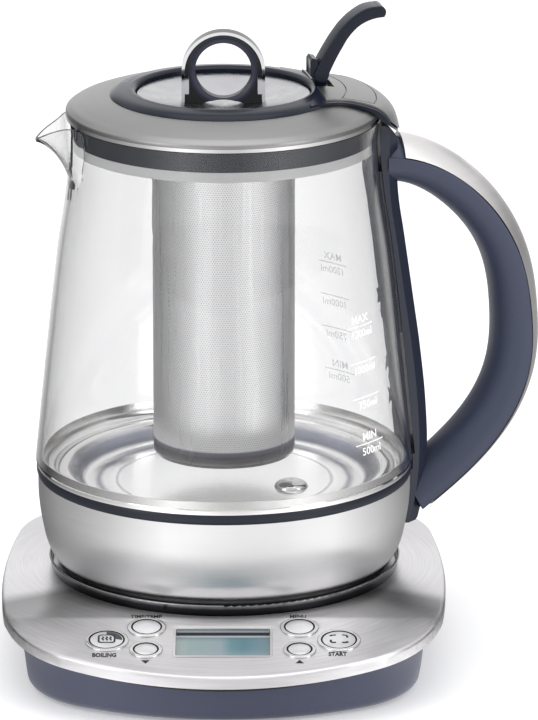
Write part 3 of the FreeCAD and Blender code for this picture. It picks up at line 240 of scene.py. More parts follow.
def perforated_steel():
    """The strainer's sheet: bright rolled steel, with a plain hem at its foot, pressed over the pan. The
    hem's darker blue-grey bands are painted reflection."""
    low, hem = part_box("strainer_tube")[0].z, 10 * mm
    made, tree, surface = finish_of("perforated_stainless", Metallic=1.0, Anisotropic=0.85,
                                    Tangent=(0.0, 0.0, 1.0))
    place = add(tree, "ShaderNodeTexCoord").outputs["Object"]
    parts = add(tree, "ShaderNodeSeparateXYZ", {"Vector": place})
    climb = add(tree, "ShaderNodeMapRange", {"Value": parts.outputs["Z"], "From Min": low,
                                             "From Max": low + hem})
    # Painted reflection: dark blue-grey bands along the hem.
    coloured_by(tree, surface, climb.outputs["Result"], (
        (0.0, "#D8D6D5"), (0.12, "#8C878A"), (0.30, "#4E4C56"), (0.52, "#7A7D8C"), (0.58, "#FFFFFF")))
    streaks = add(tree, "ShaderNodeMapping", {"Vector": place, "Scale": (1.0, 1.0, 0.04)})
    rolled = add(tree, "ShaderNodeTexNoise", {"Vector": streaks.outputs["Vector"], "Scale": 1.0 / (2.5 * mm),
                                              "Detail": 2.0})
    roughened_by(tree, surface, rolled.outputs["Fac"], (0.3, 0.7), (0.24, 0.38))
    return made


def chrome_band():
    """Bright chrome on the knob's band: mirror-bright on its narrow sides and painted dark where it wraps
    over the outside, a painted reflection of a dark room."""
    made, tree, surface = finish_of("chrome_band_painted_reflection", Metallic=1.0, Roughness=0.05)
    facing = add(tree, "ShaderNodeNewGeometry").outputs["Normal"]
    parts = add(tree, "ShaderNodeSeparateXYZ", {"Vector": facing})
    side = add(tree, "ShaderNodeMath", {0: parts.outputs["Y"]}, operation="ABSOLUTE")
    place = add(tree, "ShaderNodeTexCoord").outputs["Object"]
    uneven = clouded(tree, side.outputs[0], place, 3 * mm, 0.06, 3.0)
    # Painted reflection: dark where the band faces outwards.
    coloured_by(tree, surface, uneven, ((0.55, "#15161A"), (0.85, "#F2F2F3")))
    return made


def knob_plastic():
    """The knob's core, in gloss plastic: near black at its middle and in its outer bevel as painted shade,
    and paler blue-grey on the ring between as painted light.
    """
    made, tree, surface = finish_of("gloss_moulded_knob", Roughness=0.26, IOR=1.49)
    bevel_inner, bevel_outer = 10 * mm, 18 * mm
    place = add(tree, "ShaderNodeTexCoord").outputs["Object"]
    centred = add(tree, "ShaderNodeVectorMath", {0: place, 1: (0.0, 0.0, -KNOB_HEIGHT)}, operation="ADD")
    flat = add(tree, "ShaderNodeVectorMath", {0: centred.outputs[0], 1: (1.0, 0.0, 1.0)},
               operation="MULTIPLY")
    reach = add(tree, "ShaderNodeVectorMath", {0: flat.outputs[0]}, operation="LENGTH")
    out = add(tree, "ShaderNodeMapRange", {"Value": reach.outputs["Value"], "From Min": bevel_inner,
                                           "From Max": bevel_outer})
    uneven = clouded(tree, out.outputs["Result"], place, 0.5 * mm, 0.03, 2.0)
    # Painted shade at the middle and outer bevel, painted light on the ring between.
    coloured_by(tree, surface, uneven, (
        (0.14, "#0D1016"), (0.20, "#2C3142"), (0.46, "#1E2331"), (0.54, "#07090D")))
    return made


def polished_metal(name, colour, roughness):
    """A polished or plated metal: mirror-like with a faint haze of wiping marks."""
    made, tree, surface = finish_of(name, Metallic=1.0, **{"Base Color": linear(colour)})
    place = add(tree, "ShaderNodeTexCoord").outputs["Object"]
    haze = add(tree, "ShaderNodeTexNoise", {"Vector": place, "Scale": 1.0 / (6 * mm), "Detail": 5.0})
    roughened_by(tree, surface, haze.outputs["Fac"], (0.3, 0.7), (roughness * 0.7, roughness * 1.5))
    return made


def pressed_dish():
    """The heated floor: its level middle is satin and pale, and the rings pressed round it are polished.
    Their tones and the faint glow are part of the colour: they stand in for what the steep sides reflect of
    the room and for the light that comes down through the glass."""
    made, tree, surface = finish_of("pressed_stainless_dish", Metallic=1.0, **{
        "Emission Color": (1, 1, 1, 1), "Emission Strength": 0.10})
    rings_inner, rings_outer = 40 * mm, 64 * mm
    place = add(tree, "ShaderNodeTexCoord").outputs["Object"]
    flat = add(tree, "ShaderNodeVectorMath", {0: place, 1: (1.0, 1.0, 0.0)}, operation="MULTIPLY")
    reach = add(tree, "ShaderNodeVectorMath", {0: flat.outputs[0]}, operation="LENGTH")
    uneven = clouded(tree, reach.outputs["Value"], place, 9 * mm, 0.6 * mm, 3.0)
    out = add(tree, "ShaderNodeMapRange", {"Value": uneven, "From Min": rings_inner, "From Max": rings_outer})
    coloured_by(tree, surface, out.outputs["Result"], (
        (0.0, "#FFFFFF"), (0.10, "#FFFFFF"), (0.14, "#B4B5BA"), (0.19, "#FFFFFF"), (0.36, "#EDECEC"),
        (0.44, "#6C7080"), (0.54, "#E9E8E8"), (0.66, "#F4F3F2"), (0.74, "#565B6C"), (0.86, "#8C90A0"),
        (0.94, "#EFEEED")))
    roughened_by(tree, surface, out.outputs["Result"], (0.05, 0.2), (0.20, 0.12))
    return made


def seat_steel():
    """The raised ring of the seat: polished steel painted near black towards its foot and mid grey at its
    lip, a painted shade where it stands under the kettle's skirt."""
    made, tree, surface = finish_of("polished_stainless_seat", Metallic=1.0, Roughness=0.22)
    rise = 4.6 * mm
    place = add(tree, "ShaderNodeTexCoord").outputs["Object"]
    height = add(tree, "ShaderNodeSeparateXYZ", {"Vector": place}).outputs["Z"]
    climb = add(tree, "ShaderNodeMapRange", {"Value": height, "From Min": SEAT_LEVEL,
                                             "From Max": SEAT_LEVEL + rise})
    uneven = clouded(tree, climb.outputs["Result"], place, 5 * mm, 0.12, 4.0)
    # Painted shade: near black at the ring's foot, mid grey at its lip.
    coloured_by(tree, surface, uneven, ((0.10, "#0C0C0D"), (0.65, "#2A2A2C"), (1.0, "#88888A")))
    return made


def silver_button():
    """ABS plated in satin silver on its crown; the steep side of the cap is painted near black, a
    painted shade of the gap round the cap.
    """
    made, tree, surface = finish_of("satin_silver_plated_abs", Metallic=0.75)
    facing = add(tree, "ShaderNodeNewGeometry").outputs["Normal"]
    upward = add(tree, "ShaderNodeVectorMath", {0: facing, 1: PANEL_UP},
                 operation="DOT_PRODUCT").outputs["Value"]
    place = add(tree, "ShaderNodeTexCoord").outputs["Object"]
    haze = add(tree, "ShaderNodeTexNoise", {"Vector": place, "Scale": 1.0 / (1.5 * mm), "Detail": 4.0})
    # Painted shade: the cap's steep side near black.
    coloured_by(tree, surface, upward, (
        (0.60, "#101114"), (0.80, "#18191C"), (0.90, "#C4C4C6"), (0.97, "#E8E8E9")))
    roughened_by(tree, surface, haze.outputs["Fac"], (0.0, 1.0), (0.26, 0.40))
    return made


def borosilicate_glass():
    """Blown borosilicate glass: clear, with a faint grey body and the slow waves of a blown wall."""
    made, tree, surface = finish_of("borosilicate_glass", Roughness=0.0, IOR=1.47,
                                    **{"Transmission Weight": 1.0, "Base Color": linear("#F1F1F1")})
    place = add(tree, "ShaderNodeTexCoord").outputs["Object"]
    wave = add(tree, "ShaderNodeTexNoise", {"Vector": place, "Scale": 1.0 / (40 * mm), "Detail": 1.0})
    bump = add(tree, "ShaderNodeBump", {"Height": wave.outputs["Fac"], "Distance": 0.05 * mm,
                                        "Strength": 0.4})
    tree.links.new(bump.outputs["Normal"], surface.inputs["Normal"])
    return made


def silicone(name, colour, roughness):
    """Moulded silicone rubber: dull, slightly soft at its edges, with a dusty fine grain."""
    made, tree, surface = finish_of(name, Roughness=roughness, IOR=1.41)
    speck = grain_of(tree, surface, 0.3 * mm, 0.001 * mm)
    coloured_by(tree, surface, speck, ((0.3, toned(colour, 0.9)), (0.7, toned(colour, 1.1))))
    return made


def ribbed_silicone():
    """A moulded silicone pad with fine ribs across it, 1.1 mm apart, that catch the light as pale lines."""
    made, tree, surface = finish_of("ribbed_silicone_pad", Roughness=0.5, IOR=1.41)
    place = add(tree, "ShaderNodeTexCoord").outputs["Object"]
    slanted = add(tree, "ShaderNodeMapping", {"Vector": place, "Rotation": (0.0, math.radians(24), 0.0)})
    ribs = add(tree, "ShaderNodeTexWave", {"Vector": slanted.outputs["Vector"],
                                           "Scale": math.tau / (20 * 1.1 * mm),
                                           "Distortion": 0.4, "Detail": 1.0}, bands_direction="Z")
    coloured_by(tree, surface, ribs.outputs["Fac"], ((0.25, "#33363E"), (0.8, "#5E6169")))
    bump = add(tree, "ShaderNodeBump", {"Height": ribs.outputs["Fac"], "Distance": 0.15 * mm,
                                        "Strength": 0.6})
    tree.links.new(bump.outputs["Normal"], surface.inputs["Normal"])
    return made


def fired_enamel(name, cover, glow):
    """A coat of white enamel fired on the glass: cover is how much it hides, glow a painted glow that
    stands in for the light that passes through it."""
    made, tree, surface = finish_of(name, Roughness=0.45, IOR=1.5, Alpha=cover, **{
        "Emission Color": (1, 1, 1, 1), "Emission Strength": glow})
    speck = grain_of(tree, surface, 0.2 * mm, 0.002 * mm)
    coloured_by(tree, surface, speck, ((0.3, "#F4F5F6"), (0.7, "#FFFFFF")))
    return made


def liquid_crystal_window():
    """A clear acrylic window over an idle liquid crystal: pale grey-green at its left, deeper blue-green
    right of the middle, and dark along its upper edge, a painted shadow of the panel's edge. The pale
    line under that edge is a painted highlight, and the faint glow is painted light."""
    low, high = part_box("display_lens")
    made, tree, surface = finish_of("acrylic_over_liquid_crystal", Roughness=0.16, IOR=1.49,
                                    **{"Specular IOR Level": 0.3, "Coat Weight": 0.1, "Coat Roughness": 0.05,
                                       "Emission Strength": 0.02})
    place = add(tree, "ShaderNodeTexCoord").outputs["Object"]
    parts = add(tree, "ShaderNodeSeparateXYZ", {"Vector": place})
    across = add(tree, "ShaderNodeMapRange", {"Value": parts.outputs["X"], "From Min": low.x,
                                              "From Max": high.x})
    down = add(tree, "ShaderNodeMapRange", {"Value": parts.outputs["Y"], "From Min": high.y,
                                            "From Max": low.y})
    field = add(tree, "ShaderNodeValToRGB", {"Fac": across.outputs["Result"]}, stops=(
        (0.0, "#9FABA9"), (0.15, "#8A9E9E"), (0.48, "#87989E"), (0.58, "#5C838C"),
        (0.72, "#4C7883"), (0.92, "#66858E"), (1.0, "#72888F")))
    veil = add(tree, "ShaderNodeValToRGB", {"Fac": down.outputs["Result"]}, stops=greys((
        (0.0, 1), (0.12, 0.9), (0.19, 0.35), (0.32, 0.0), (0.6, 0.1), (0.85, 0.55), (1.0, 0.7))))
    # Painted shadow and painted highlight along the window's upper edge.
    frame_shade = add(tree, "ShaderNodeValToRGB", {"Fac": down.outputs["Result"]}, stops=(
        (0.0, "#14171A"), (0.06, "#1E2225"), (0.075, "#B4B8C0"), (0.11, "#A6ACB6"),
        (0.17, "#5C6C72"), (0.5, "#8E989C"), (1.0, "#A4A8AC")))
    shade = add(tree, "ShaderNodeMix", {0: veil.outputs["Color"], 6: field.outputs["Color"],
                                        7: frame_shade.outputs["Color"]}, data_type="RGBA")
    tree.links.new(shade.outputs[2], surface.inputs["Base Color"])
    tree.links.new(shade.outputs[2], surface.inputs["Emission Color"])
    return made


PANEL = Matrix.Translation((0, PANEL_BEND, SEAT_LEVEL)) @ Matrix.Rotation(PANEL_SLOPE, 4, "X")
PANEL_UP = tuple(PANEL.to_3x3() @ Vector((0, 0, 1)))

plastic_dark = satin_polypropylene("satin_polypropylene_blue_black", "#262B3B", 0.34, 0.004 * mm)
# The lid ring and lever take a glossier, darker copy of the blue-black plastic: the darker colour is painted
# shade.
lid_plastic = satin_polypropylene("gloss_polypropylene_painted_shade", "#191D2B", 0.20, 0.0008 * mm, 0.26)
# The grip takes a lighter copy of the blue-black plastic: the lighter colour is painted light.
grip_plastic = satin_polypropylene("grip_polypropylene_painted_light", "#3E4459", 0.44, 0.008 * mm)
plug_plastic = satin_polypropylene("gloss_moulded_plug", "#141B2E", 0.30, 0.0002 * mm, 0.3)
# The housing is painted black just under the plate's edge: a painted shadow.
plastic_base = satin_polypropylene("satin_polypropylene_base", "#464A60", 0.44, 0.008 * mm, painted_shadow_depth=PAINTED_SHADOW_DEPTH)
plate_steel = brushed_steel(
    "brushed_stainless_plate", "#E2E0E1", 0.32, 0.45 * mm, 30 * mm, 0.10, 0.03, 0.85, soft_edge=4 * mm,
    fans=((-180, 0.88), (-80, 1.0), (-64, 0.98), (-58, 0.40), (-46, 0.52), (-34, 0.84), (0, 0.98), (25, 1.0),
          (38, 0.98), (47, 0.72), (53, 0.46), (59, 0.48), (64, 1.0), (110, 0.96), (180, 0.88)))
collar_steel = brushed_steel("satin_stainless_collar", "#9C9B9A", 0.38, 0.35 * mm, 30 * mm, 0.012, 0.02, 0.5)
skirt_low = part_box("steel_skirt")[0].z
# climb paints the skirt near black at its foot: painted shade and painted reflection of the plate beneath.
skirt_steel = brushed_steel(
    "brushed_stainless_skirt", "#FFFFFF", 0.40, 0.40 * mm, 40 * mm, 0.03, 0.02, 0.92, upright=True,
    fans=((-180, 0.8), (-95, 0.45), (-78, 0.50), (-60, 0.72), (-38, 0.80), (-18, 0.97), (0, 0.90), (18, 0.84),
          (36, 0.96), (55, 0.80), (75, 0.55), (95, 0.45), (180, 0.8)),
    climb=(skirt_low, skirt_low + 14 * mm,
           ((0.0, 0.03), (0.10, 0.05), (0.26, 0.70), (0.40, 1.0), (1.0, 0.95))))
strainer_steel = perforated_steel()
band_steel = brushed_steel("brushed_stainless_band", "#EAE8E6", 0.38, 0.35 * mm, 40 * mm, 0.015, 0.02, 0.6,
                           upright=True)
mirror_steel = polished_metal("polished_stainless", "#D6D5D4", 0.09)
bright_band = polished_metal("silvered_sealing_band", "#F2F1EF", 0.14)
dish_steel = pressed_dish()
spun_steel = polished_metal("spun_stainless_cap", "#C6C6C8", 0.20)
ring_steel = seat_steel()
button_silver = silver_button()
zinc = polished_metal("zinc_plated_screw", "#A9A9AA", 0.30)
glass = borosilicate_glass()
seal = silicone("silicone_seal", "#20242F", 0.36)
clear_seal = silicone("milky_silicone_seal", "#ECECEC", 0.30)
rubber = silicone("moulded_rubber", "#26272B", 0.62)
pad = ribbed_silicone()
brass = polished_metal("nickel_brass_contact", "#C9AE6C", 0.25)
aluminium = polished_metal("cast_aluminium", "#A5A6A8", 0.45)
board = satin_polypropylene("solder_mask_board", "#1F5A37", 0.4, 0.01 * mm)
display = liquid_crystal_window()

finishes = {piece: finish for finish, pieces in (
    (plastic_base, "base_housing"), (plate_steel, "base_top_plate seat_dish"),
    (plastic_dark, "base_bottom_cover base_connector lcd_module button_frame tact_switches relay "
                   "kettle_connector thermal_cutout kettle_bottom_cover handle_strap cap_plug"),
    (rubber, "rubber_feet foot_ring cord_gland"),
    (zinc, "base_screws kettle_screws strap_screw lever_pin knob_screws"), (ring_steel, "seat_ring"),
    (brass, "connector_contacts"),
    (mirror_steel, "display_bezel button_rings sensor_dome lid_trim strainer_rim strainer_base"),
    (display, "display_lens"), (board, "control_board power_board"),
    (button_silver, "boiling_button start_button time_button menu_button down_button up_button"),
    (glass, "glass_jug"), (skirt_steel, "steel_skirt"), (seal, "skirt_ring cap_seal"),
    (dish_steel, "heating_dish"), (bright_band, "dish_seal"), (aluminium, "heating_element"),
    (pad, "strap_pad"), (grip_plastic, "handle_grip"), (band_steel, "handle_band"),
    (collar_steel, "lid_collar tail_cover"), (plug_plastic, "lid_plug"), (clear_seal, "lid_seal"),
    (lid_plastic, "lid_ring lever"), (strainer_steel, "strainer_tube"), (spun_steel, "cap_disc"),
    (knob_plastic(), "knob_core"), (chrome_band(), "knob_band"),
) for piece in pieces.split()}


def geometry_tree(name, sockets):
    """A tree that takes the named inputs of the given kinds and gives geometry, and its input node."""
    tree = bpy.data.node_groups.new(name, "GeometryNodeTree")
    for label, kind in sockets:
        tree.interface.new_socket(label, in_out="INPUT", socket_type="NodeSocket" + kind)
    tree.interface.new_socket("Geometry", in_out="OUTPUT", socket_type="NodeSocketGeometry")
    return tree, add(tree, "NodeGroupInput")


def smoothing_tree():
    """Joins a node's loose facets and shades them smooth, except over edges sharper than the named angle."""
    tree, start = geometry_tree("smooth_facets", (("Geometry", "Geometry"), ("Join distance", "Float"),
                                                  ("Sharp angle", "Float")))
    merged = add(tree, "GeometryNodeMergeByDistance", {"Geometry": start.outputs["Geometry"],
                                                       "Distance": start.outputs["Join distance"]})
    smooth = add(tree, "GeometryNodeSetShadeSmooth", {"Geometry": merged.outputs["Geometry"],
                                                      "Shade Smooth": True},
                 domain="FACE")
    angle = add(tree, "GeometryNodeInputMeshEdgeAngle")
    soft = add(tree, "FunctionNodeCompare", {"A": angle.outputs["Unsigned Angle"],
                                             "B": start.outputs["Sharp angle"]},
               data_type="FLOAT", operation="LESS_THAN")
    edges = add(tree, "GeometryNodeSetShadeSmooth", {"Geometry": smooth.outputs["Geometry"],
                                                     "Shade Smooth": soft.outputs["Result"]}, domain="EDGE")
    add(tree, "NodeGroupOutput", {"Geometry": edges.outputs["Geometry"]})
    return tree


smooth_facets = smoothing_tree()


def input_of(tree, name):
    return next(item.identifier for item in tree.interface.items_tree
                if item.item_type == "SOCKET" and item.in_out == "INPUT" and item.name == name)


for name, obj in nodes.items():
    obj.data.materials.clear()
    obj.data.materials.append(finishes[name])
    smoother = obj.modifiers.new("smooth_facets", "NODES")
    smoother.node_group = smooth_facets
    smoother[input_of(smooth_facets, "Join distance")] = 0.002 * mm
    smoother[input_of(smooth_facets, "Sharp angle")] = math.radians(28)
    if name == "strap_pad":
        thinner = obj.modifiers.new("clear_of_the_glass", "DISPLACE")
        thinner.direction, thinner.mid_level, thinner.strength = "NORMAL", 0.0, -0.16 * mm


# ---- prints and small parts that lie on a surface ----
def surface_of(*names):
    """The named nodes' facets as one tree that rays can be sent at."""
    points, facets = [], []
    for name in names:
        mesh = nodes[name].data
        first = len(points)
        points += [vertex.co.copy() for vertex in mesh.vertices]
        facets += [[first + i for i in polygon.vertices] for polygon in mesh.polygons]
    return BVHTree.FromPolygons(points, facets)


def words(text, height, stroke=0.0):
    """A word as a thin slab lying in XY, centred, with capitals of the height; stroke thickens its lines."""
    curve = bpy.data.curves.new("words", "FONT")
    curve.body = text
    curve.size = height / CAPITAL_SHARE
    curve.offset = stroke
    curve.extrude = 0.5
    curve.resolution_u = 3
    temporary = bpy.data.objects.new("words", curve)
    scene.collection.objects.link(temporary)
    bpy.context.view_layer.update()
    mesh = bpy.data.meshes.new_from_object(temporary.evaluated_get(bpy.context.evaluated_depsgraph_get()))
    bpy.data.objects.remove(temporary)
    shape = bmesh.new()
    shape.from_mesh(mesh)
    xs = [v.co.x for v in shape.verts]
    ys = [v.co.y for v in shape.verts if v.co.y >= -0.0001]
    middle = Vector(((min(xs) + max(xs)) / 2, max(ys) / 2, 0))
    bmesh.ops.translate(shape, verts=shape.verts, vec=-middle)
    return shape


def slab(outline):
    """A flat shape through the (x, y) points as a thin slab lying in XY."""
    shape = bmesh.new()
    low = [shape.verts.new((x, y, -0.5)) for x, y in outline]
    high = [shape.verts.new((x, y, 0.5)) for x, y in outline]
    shape.faces.new(list(reversed(low)))
    shape.faces.new(high)
    for i in range(len(outline)):
        j = (i + 1) % len(outline)
        shape.faces.new((low[i], low[j], high[j], high[i]))
    return shape


def stroke_line(points, width, closed=False):
    """A band of the width along the (x, y) points, as a thin slab lying in XY."""
    count = len(points)
    left, right = [], []
    for i, here in enumerate(points):
        before = points[(i - 1) % count] if closed or i else here
        after = points[(i + 1) % count] if closed or i < count - 1 else here
        way = Vector((after[0] - before[0], after[1] - before[1], 0)).normalized()
        side = Vector((-way.y, way.x, 0)) * (width / 2)
        left.append(Vector((here[0], here[1], 0)) + side)
        right.append(Vector((here[0], here[1], 0)) - side)
    shape = bmesh.new()
    rings = []
    for a, b in zip(left, right):
        rings.append([shape.verts.new(a + Vector((0, 0, 0.5))), shape.verts.new(b + Vector((0, 0, 0.5))),
                      shape.verts.new(b - Vector((0, 0, 0.5))), shape.verts.new(a - Vector((0, 0, 0.5)))])
    for i in range(count if closed else count - 1):
        one, two = rings[i], rings[(i + 1) % count]
        for k in range(4):
            shape.faces.new((one[k], one[(k + 1) % 4], two[(k + 1) % 4], two[k]))
    if not closed:
        shape.faces.new(list(reversed(rings[0])))
        shape.faces.new(rings[-1])
    return shape


def piece_of(name, shapes, finish, body):
    """The shapes as one object that rides on the body."""
    mesh = bpy.data.meshes.new(name)
    whole = bmesh.new()
    for shape in shapes:
        part = bpy.data.meshes.new("part")
        shape.to_mesh(part)
        shape.free()
        whole.from_mesh(part)
        bpy.data.meshes.remove(part)
    bmesh.ops.recalc_face_normals(whole, faces=whole.faces)
    for face in whole.faces:
        face.smooth = False
    whole.to_mesh(mesh)
    whole.free()
    mesh.materials.append(finish)
    made = bpy.data.objects.new(name, mesh)
    scene.collection.objects.link(made)
    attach(made, body)


def laid(shape, x, drop, ground, film):
    """Lays a flat slab on what the panel carries: x across, drop down the slope, both in mm."""
    out = Vector(PANEL_UP)
    for vertex in shape.verts:
        level = vertex.co.z
        spot = Vector((vertex.co.x, vertex.co.y, 0))
        start = PANEL @ (Vector((x * mm, -drop * mm, ABOVE_PANEL)) + spot)
        hit = ground.ray_cast(start, -out)[0]
        if hit is None:
            hit = PANEL @ (Vector((x * mm, -drop * mm, 0)) + spot)
        vertex.co = hit + out * (film * (PRINT_LIFT + level))
    return shape


def wrapped(shape, angle, height, ground, film):
    """Wraps a flat slab round the jug at the angle in degrees and the height in mm."""
    for vertex in shape.verts:
        across, up, level = vertex.co
        z = height * mm + up
        turn = math.radians(angle) + across / JUG_RADIUS
        way = Vector((math.cos(turn), math.sin(turn), 0))
        hit = ground.ray_cast(way * BESIDE_JUG + Vector((0, 0, z)), -way)[0]
        vertex.co = hit + way * (film * (PRINT_LIFT + level))
    return shape


def arc_points(radius, first, last, count):
    return [(radius * math.cos(math.radians(first + (last - first) * i / count)),
             radius * math.sin(math.radians(first + (last - first) * i / count))) for i in range(count + 1)]


def rounded_square(half_width, half_height, corner, count=5):
    points = []
    for sx, sy, first in ((1, 1, 0), (-1, 1, 90), (-1, -1, 180), (1, -1, 270)):
        for i in range(count + 1):
            a = math.radians(first + 90 * i / count)
            points.append((sx * (half_width - corner) + corner * math.cos(a),
                           sy * (half_height - corner) + corner * math.sin(a)))
    return points


def fitted(shape, width):
    """Stretches a word across to the width."""
    xs = [v.co.x for v in shape.verts]
    scale = width / (max(xs) - min(xs))
    for vertex in shape.verts:
        vertex.co.x *= scale
    return shape


def panel_lettering():
    """Short plain captions and two arrows in black ink on the plate."""
    plate = surface_of("base_top_plate")
    film = 0.05 * mm
    captions = (("TIME/TEMP", -30.2, -2.1, 12.4, 3.6), ("MENU", 29.4, -2.1, 6.4, 3.6),
                ("BOILING", -46.0, 29.2, 9.4, 2.9), ("START", 44.7, 28.4, 7.2, 2.9))
    shapes = []
    for text, x, drop, width, height in captions:
        word = fitted(words(text, height * mm, stroke=0.17 * mm), width * mm)
        shapes.append(laid(word, x, drop, plate, film))
    arrow = ((-1.7 * mm, -1.2 * mm), (1.7 * mm, -1.2 * mm), (0.0, 1.5 * mm))
    shapes.append(laid(slab(arrow), INNER_BUTTON_X, 34.6, plate, film))
    shapes.append(laid(slab([(-x, -y) for x, y in arrow]), -INNER_BUTTON_X, 34.6, plate, film))
    piece_of("panel_lettering", shapes, ink_black, "base")


def button_icons():
    """A steam sign with a dark quarter on one button and four corner brackets on the other, printed on
    domes."""
    film = 0.03 * mm
    spot = (-OUTER_BUTTON_X, OUTER_DROP, surface_of("boiling_button"))
    steam_frame = rounded_square(3.1 * mm, 2.9 * mm, 1.1 * mm)
    icons = [laid(stroke_line(steam_frame, 0.75 * mm, closed=True), *spot, film * 2)]
    for shift in (-1.5, 0.0, 1.5):
        wave = [((shift + 0.35 * math.sin(t * 1.05)) * mm, (-1.5 + 0.3 * t) * mm) for t in range(11)]
        icons.append(laid(stroke_line(wave, 0.6 * mm), *spot, film * 2))
    piece_of("boiling_icon", icons, ink_black, "boiling_button")
    quarter = [laid(stroke_line(arc_points(radius * mm, -4, 92, 14), 0.8 * mm), *spot, film)
               for radius in (3.4, 4.0, 4.6, 5.2, 5.7)]
    piece_of("boiling_quarter", quarter, ink_grey, "boiling_button")
    spot = (OUTER_BUTTON_X, OUTER_DROP, surface_of("start_button"))
    outline = rounded_square(3.2 * mm, 2.9 * mm, 0.9 * mm)
    count = len(outline)
    arm_length = 1.1 * mm
    brackets = []
    for corner, way in enumerate((1, 1, -1, -1)):
        middle = corner * count // 4
        arm = [outline[(middle + i) % count] for i in range(6)]
        first, last = arm[0], arm[-1]
        if corner in (0, 2):
            arm = [(first[0], first[1] - way * arm_length)] + arm + [(last[0] - way * arm_length, last[1])]
        else:
            arm = [(first[0] + way * arm_length, first[1])] + arm + [(last[0], last[1] + way * arm_length)]
        brackets.append(laid(stroke_line(arm, 0.85 * mm), *spot, film * 2))
    piece_of("start_icon", brackets, ink_black, "start_button")


def jug_scale():
    """The filling scale, printed in pale enamel on both sides of the handle."""
    wall = surface_of("glass_jug")
    film = 0.04 * mm
    for name, middle, enamel in (("jug_scale_front", -38.2, enamel_full),
                                 ("jug_scale_back", 48.6, enamel_thin)):
        shapes = []
        for height, over, under in ((142.2, "MAX", "1200ml"), (128.0, None, "1000ml"), (114.0, None, "750ml"),
                                    (95.5, "MIN", "500ml")):
            line = [(x * mm, 0) for x in (-7.6, -3.8, 0, 3.8, 7.6)]
            shapes.append(wrapped(stroke_line(line, 0.45 * mm), middle, height, wall, film))
            word = words(under, 3.0 * mm, stroke=0.02 * mm)
            shapes.append(wrapped(word, middle + 0.6, height - 2.9, wall, film))
            if over:
                word = words(over, 3.2 * mm, stroke=0.02 * mm)
                shapes.append(wrapped(word, middle, height + 2.9, wall, film))
        piece_of(name, shapes, enamel, "kettle")


def grown(name, tree, values, body):
    """The tree's result with the given inputs as a plain mesh that rides on the body."""
    seed = bpy.data.objects.new(name + "_seed", bpy.data.meshes.new(name + "_seed"))
    scene.collection.objects.link(seed)
    maker = seed.modifiers.new("maker", "NODES")
    maker.node_group = tree
    for label, value in values.items():
        maker[input_of(tree, label)] = value
    mesh = bpy.data.meshes.new_from_object(seed.evaluated_get(bpy.context.evaluated_depsgraph_get()))
    mesh.name = name
    bpy.data.objects.remove(seed)
    made = bpy.data.objects.new(name, mesh)
    scene.collection.objects.link(made)
    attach(made, body)


def punched_tree():
    """Rows of holes round a tube: every second row is turned by half a pitch, as punched sheet has them."""
    tree, start = geometry_tree("punched_holes", (
        ("Holes in a row", "Int"), ("Rows", "Int"), ("Row pitch", "Float"), ("Lowest row", "Float"),
        ("Radius", "Float"), ("Hole radius", "Float"), ("Finish", "Material")))
    index = add(tree, "GeometryNodeInputIndex").outputs["Index"]
    per_row = start.outputs["Holes in a row"]
    rows = start.outputs["Rows"]
    total = add(tree, "ShaderNodeMath", {0: per_row, 1: rows}, operation="MULTIPLY").outputs[0]
    points = add(tree, "GeometryNodePoints", {"Count": total})
    row = add(tree, "ShaderNodeMath", {0: index, 1: per_row}, operation="DIVIDE").outputs[0]
    row = add(tree, "ShaderNodeMath", {0: row}, operation="FLOOR").outputs[0]
    column = add(tree, "ShaderNodeMath", {0: index, 1: per_row}, operation="MODULO").outputs[0]
    half = add(tree, "ShaderNodeMath", {0: row, 1: 2.0}, operation="MODULO").outputs[0]
    half = add(tree, "ShaderNodeMath", {0: half, 1: 0.5}, operation="MULTIPLY").outputs[0]
    column = add(tree, "ShaderNodeMath", {0: column, 1: half}, operation="ADD").outputs[0]
    step = add(tree, "ShaderNodeMath", {0: math.tau, 1: per_row}, operation="DIVIDE").outputs[0]
    angle = add(tree, "ShaderNodeMath", {0: column, 1: step}, operation="MULTIPLY").outputs[0]
    cosine = add(tree, "ShaderNodeMath", {0: angle}, operation="COSINE").outputs[0]
    sine = add(tree, "ShaderNodeMath", {0: angle}, operation="SINE").outputs[0]
    radius = start.outputs["Radius"]
    x = add(tree, "ShaderNodeMath", {0: cosine, 1: radius}, operation="MULTIPLY").outputs[0]
    y = add(tree, "ShaderNodeMath", {0: sine, 1: radius}, operation="MULTIPLY").outputs[0]
    rise = add(tree, "ShaderNodeMath", {0: row, 1: start.outputs["Row pitch"]},
               operation="MULTIPLY").outputs[0]
    z = add(tree, "ShaderNodeMath", {0: rise, 1: start.outputs["Lowest row"]}, operation="ADD").outputs[0]
    place = add(tree, "ShaderNodeCombineXYZ", {0: x, 1: y, 2: z}).outputs[0]
    placed = add(tree, "GeometryNodeSetPosition", {"Geometry": points.outputs[0], "Position": place})
    hole = add(tree, "GeometryNodeMeshCircle", {"Vertices": 6, "Radius": start.outputs["Hole radius"]},
               fill_type="NGON")
    tilt = add(tree, "ShaderNodeCombineXYZ", {0: 0.0, 1: math.pi / 2, 2: 0.0}).outputs[0]
    facing = add(tree, "GeometryNodeTransform", {"Geometry": hole.outputs[0], "Rotation": tilt})
    turn = add(tree, "ShaderNodeCombineXYZ", {0: 0.0, 1: 0.0, 2: angle}).outputs[0]
    many = add(tree, "GeometryNodeInstanceOnPoints", {"Points": placed.outputs[0],
                                                      "Instance": facing.outputs[0],
                                                      "Rotation": turn})
    real = add(tree, "GeometryNodeRealizeInstances", {"Geometry": many.outputs[0]})
    done = add(tree, "GeometryNodeSetMaterial", {"Geometry": real.outputs["Geometry"],
                                                 "Material": start.outputs["Finish"]})
    add(tree, "NodeGroupOutput", {"Geometry": done.outputs["Geometry"]})
    return tree


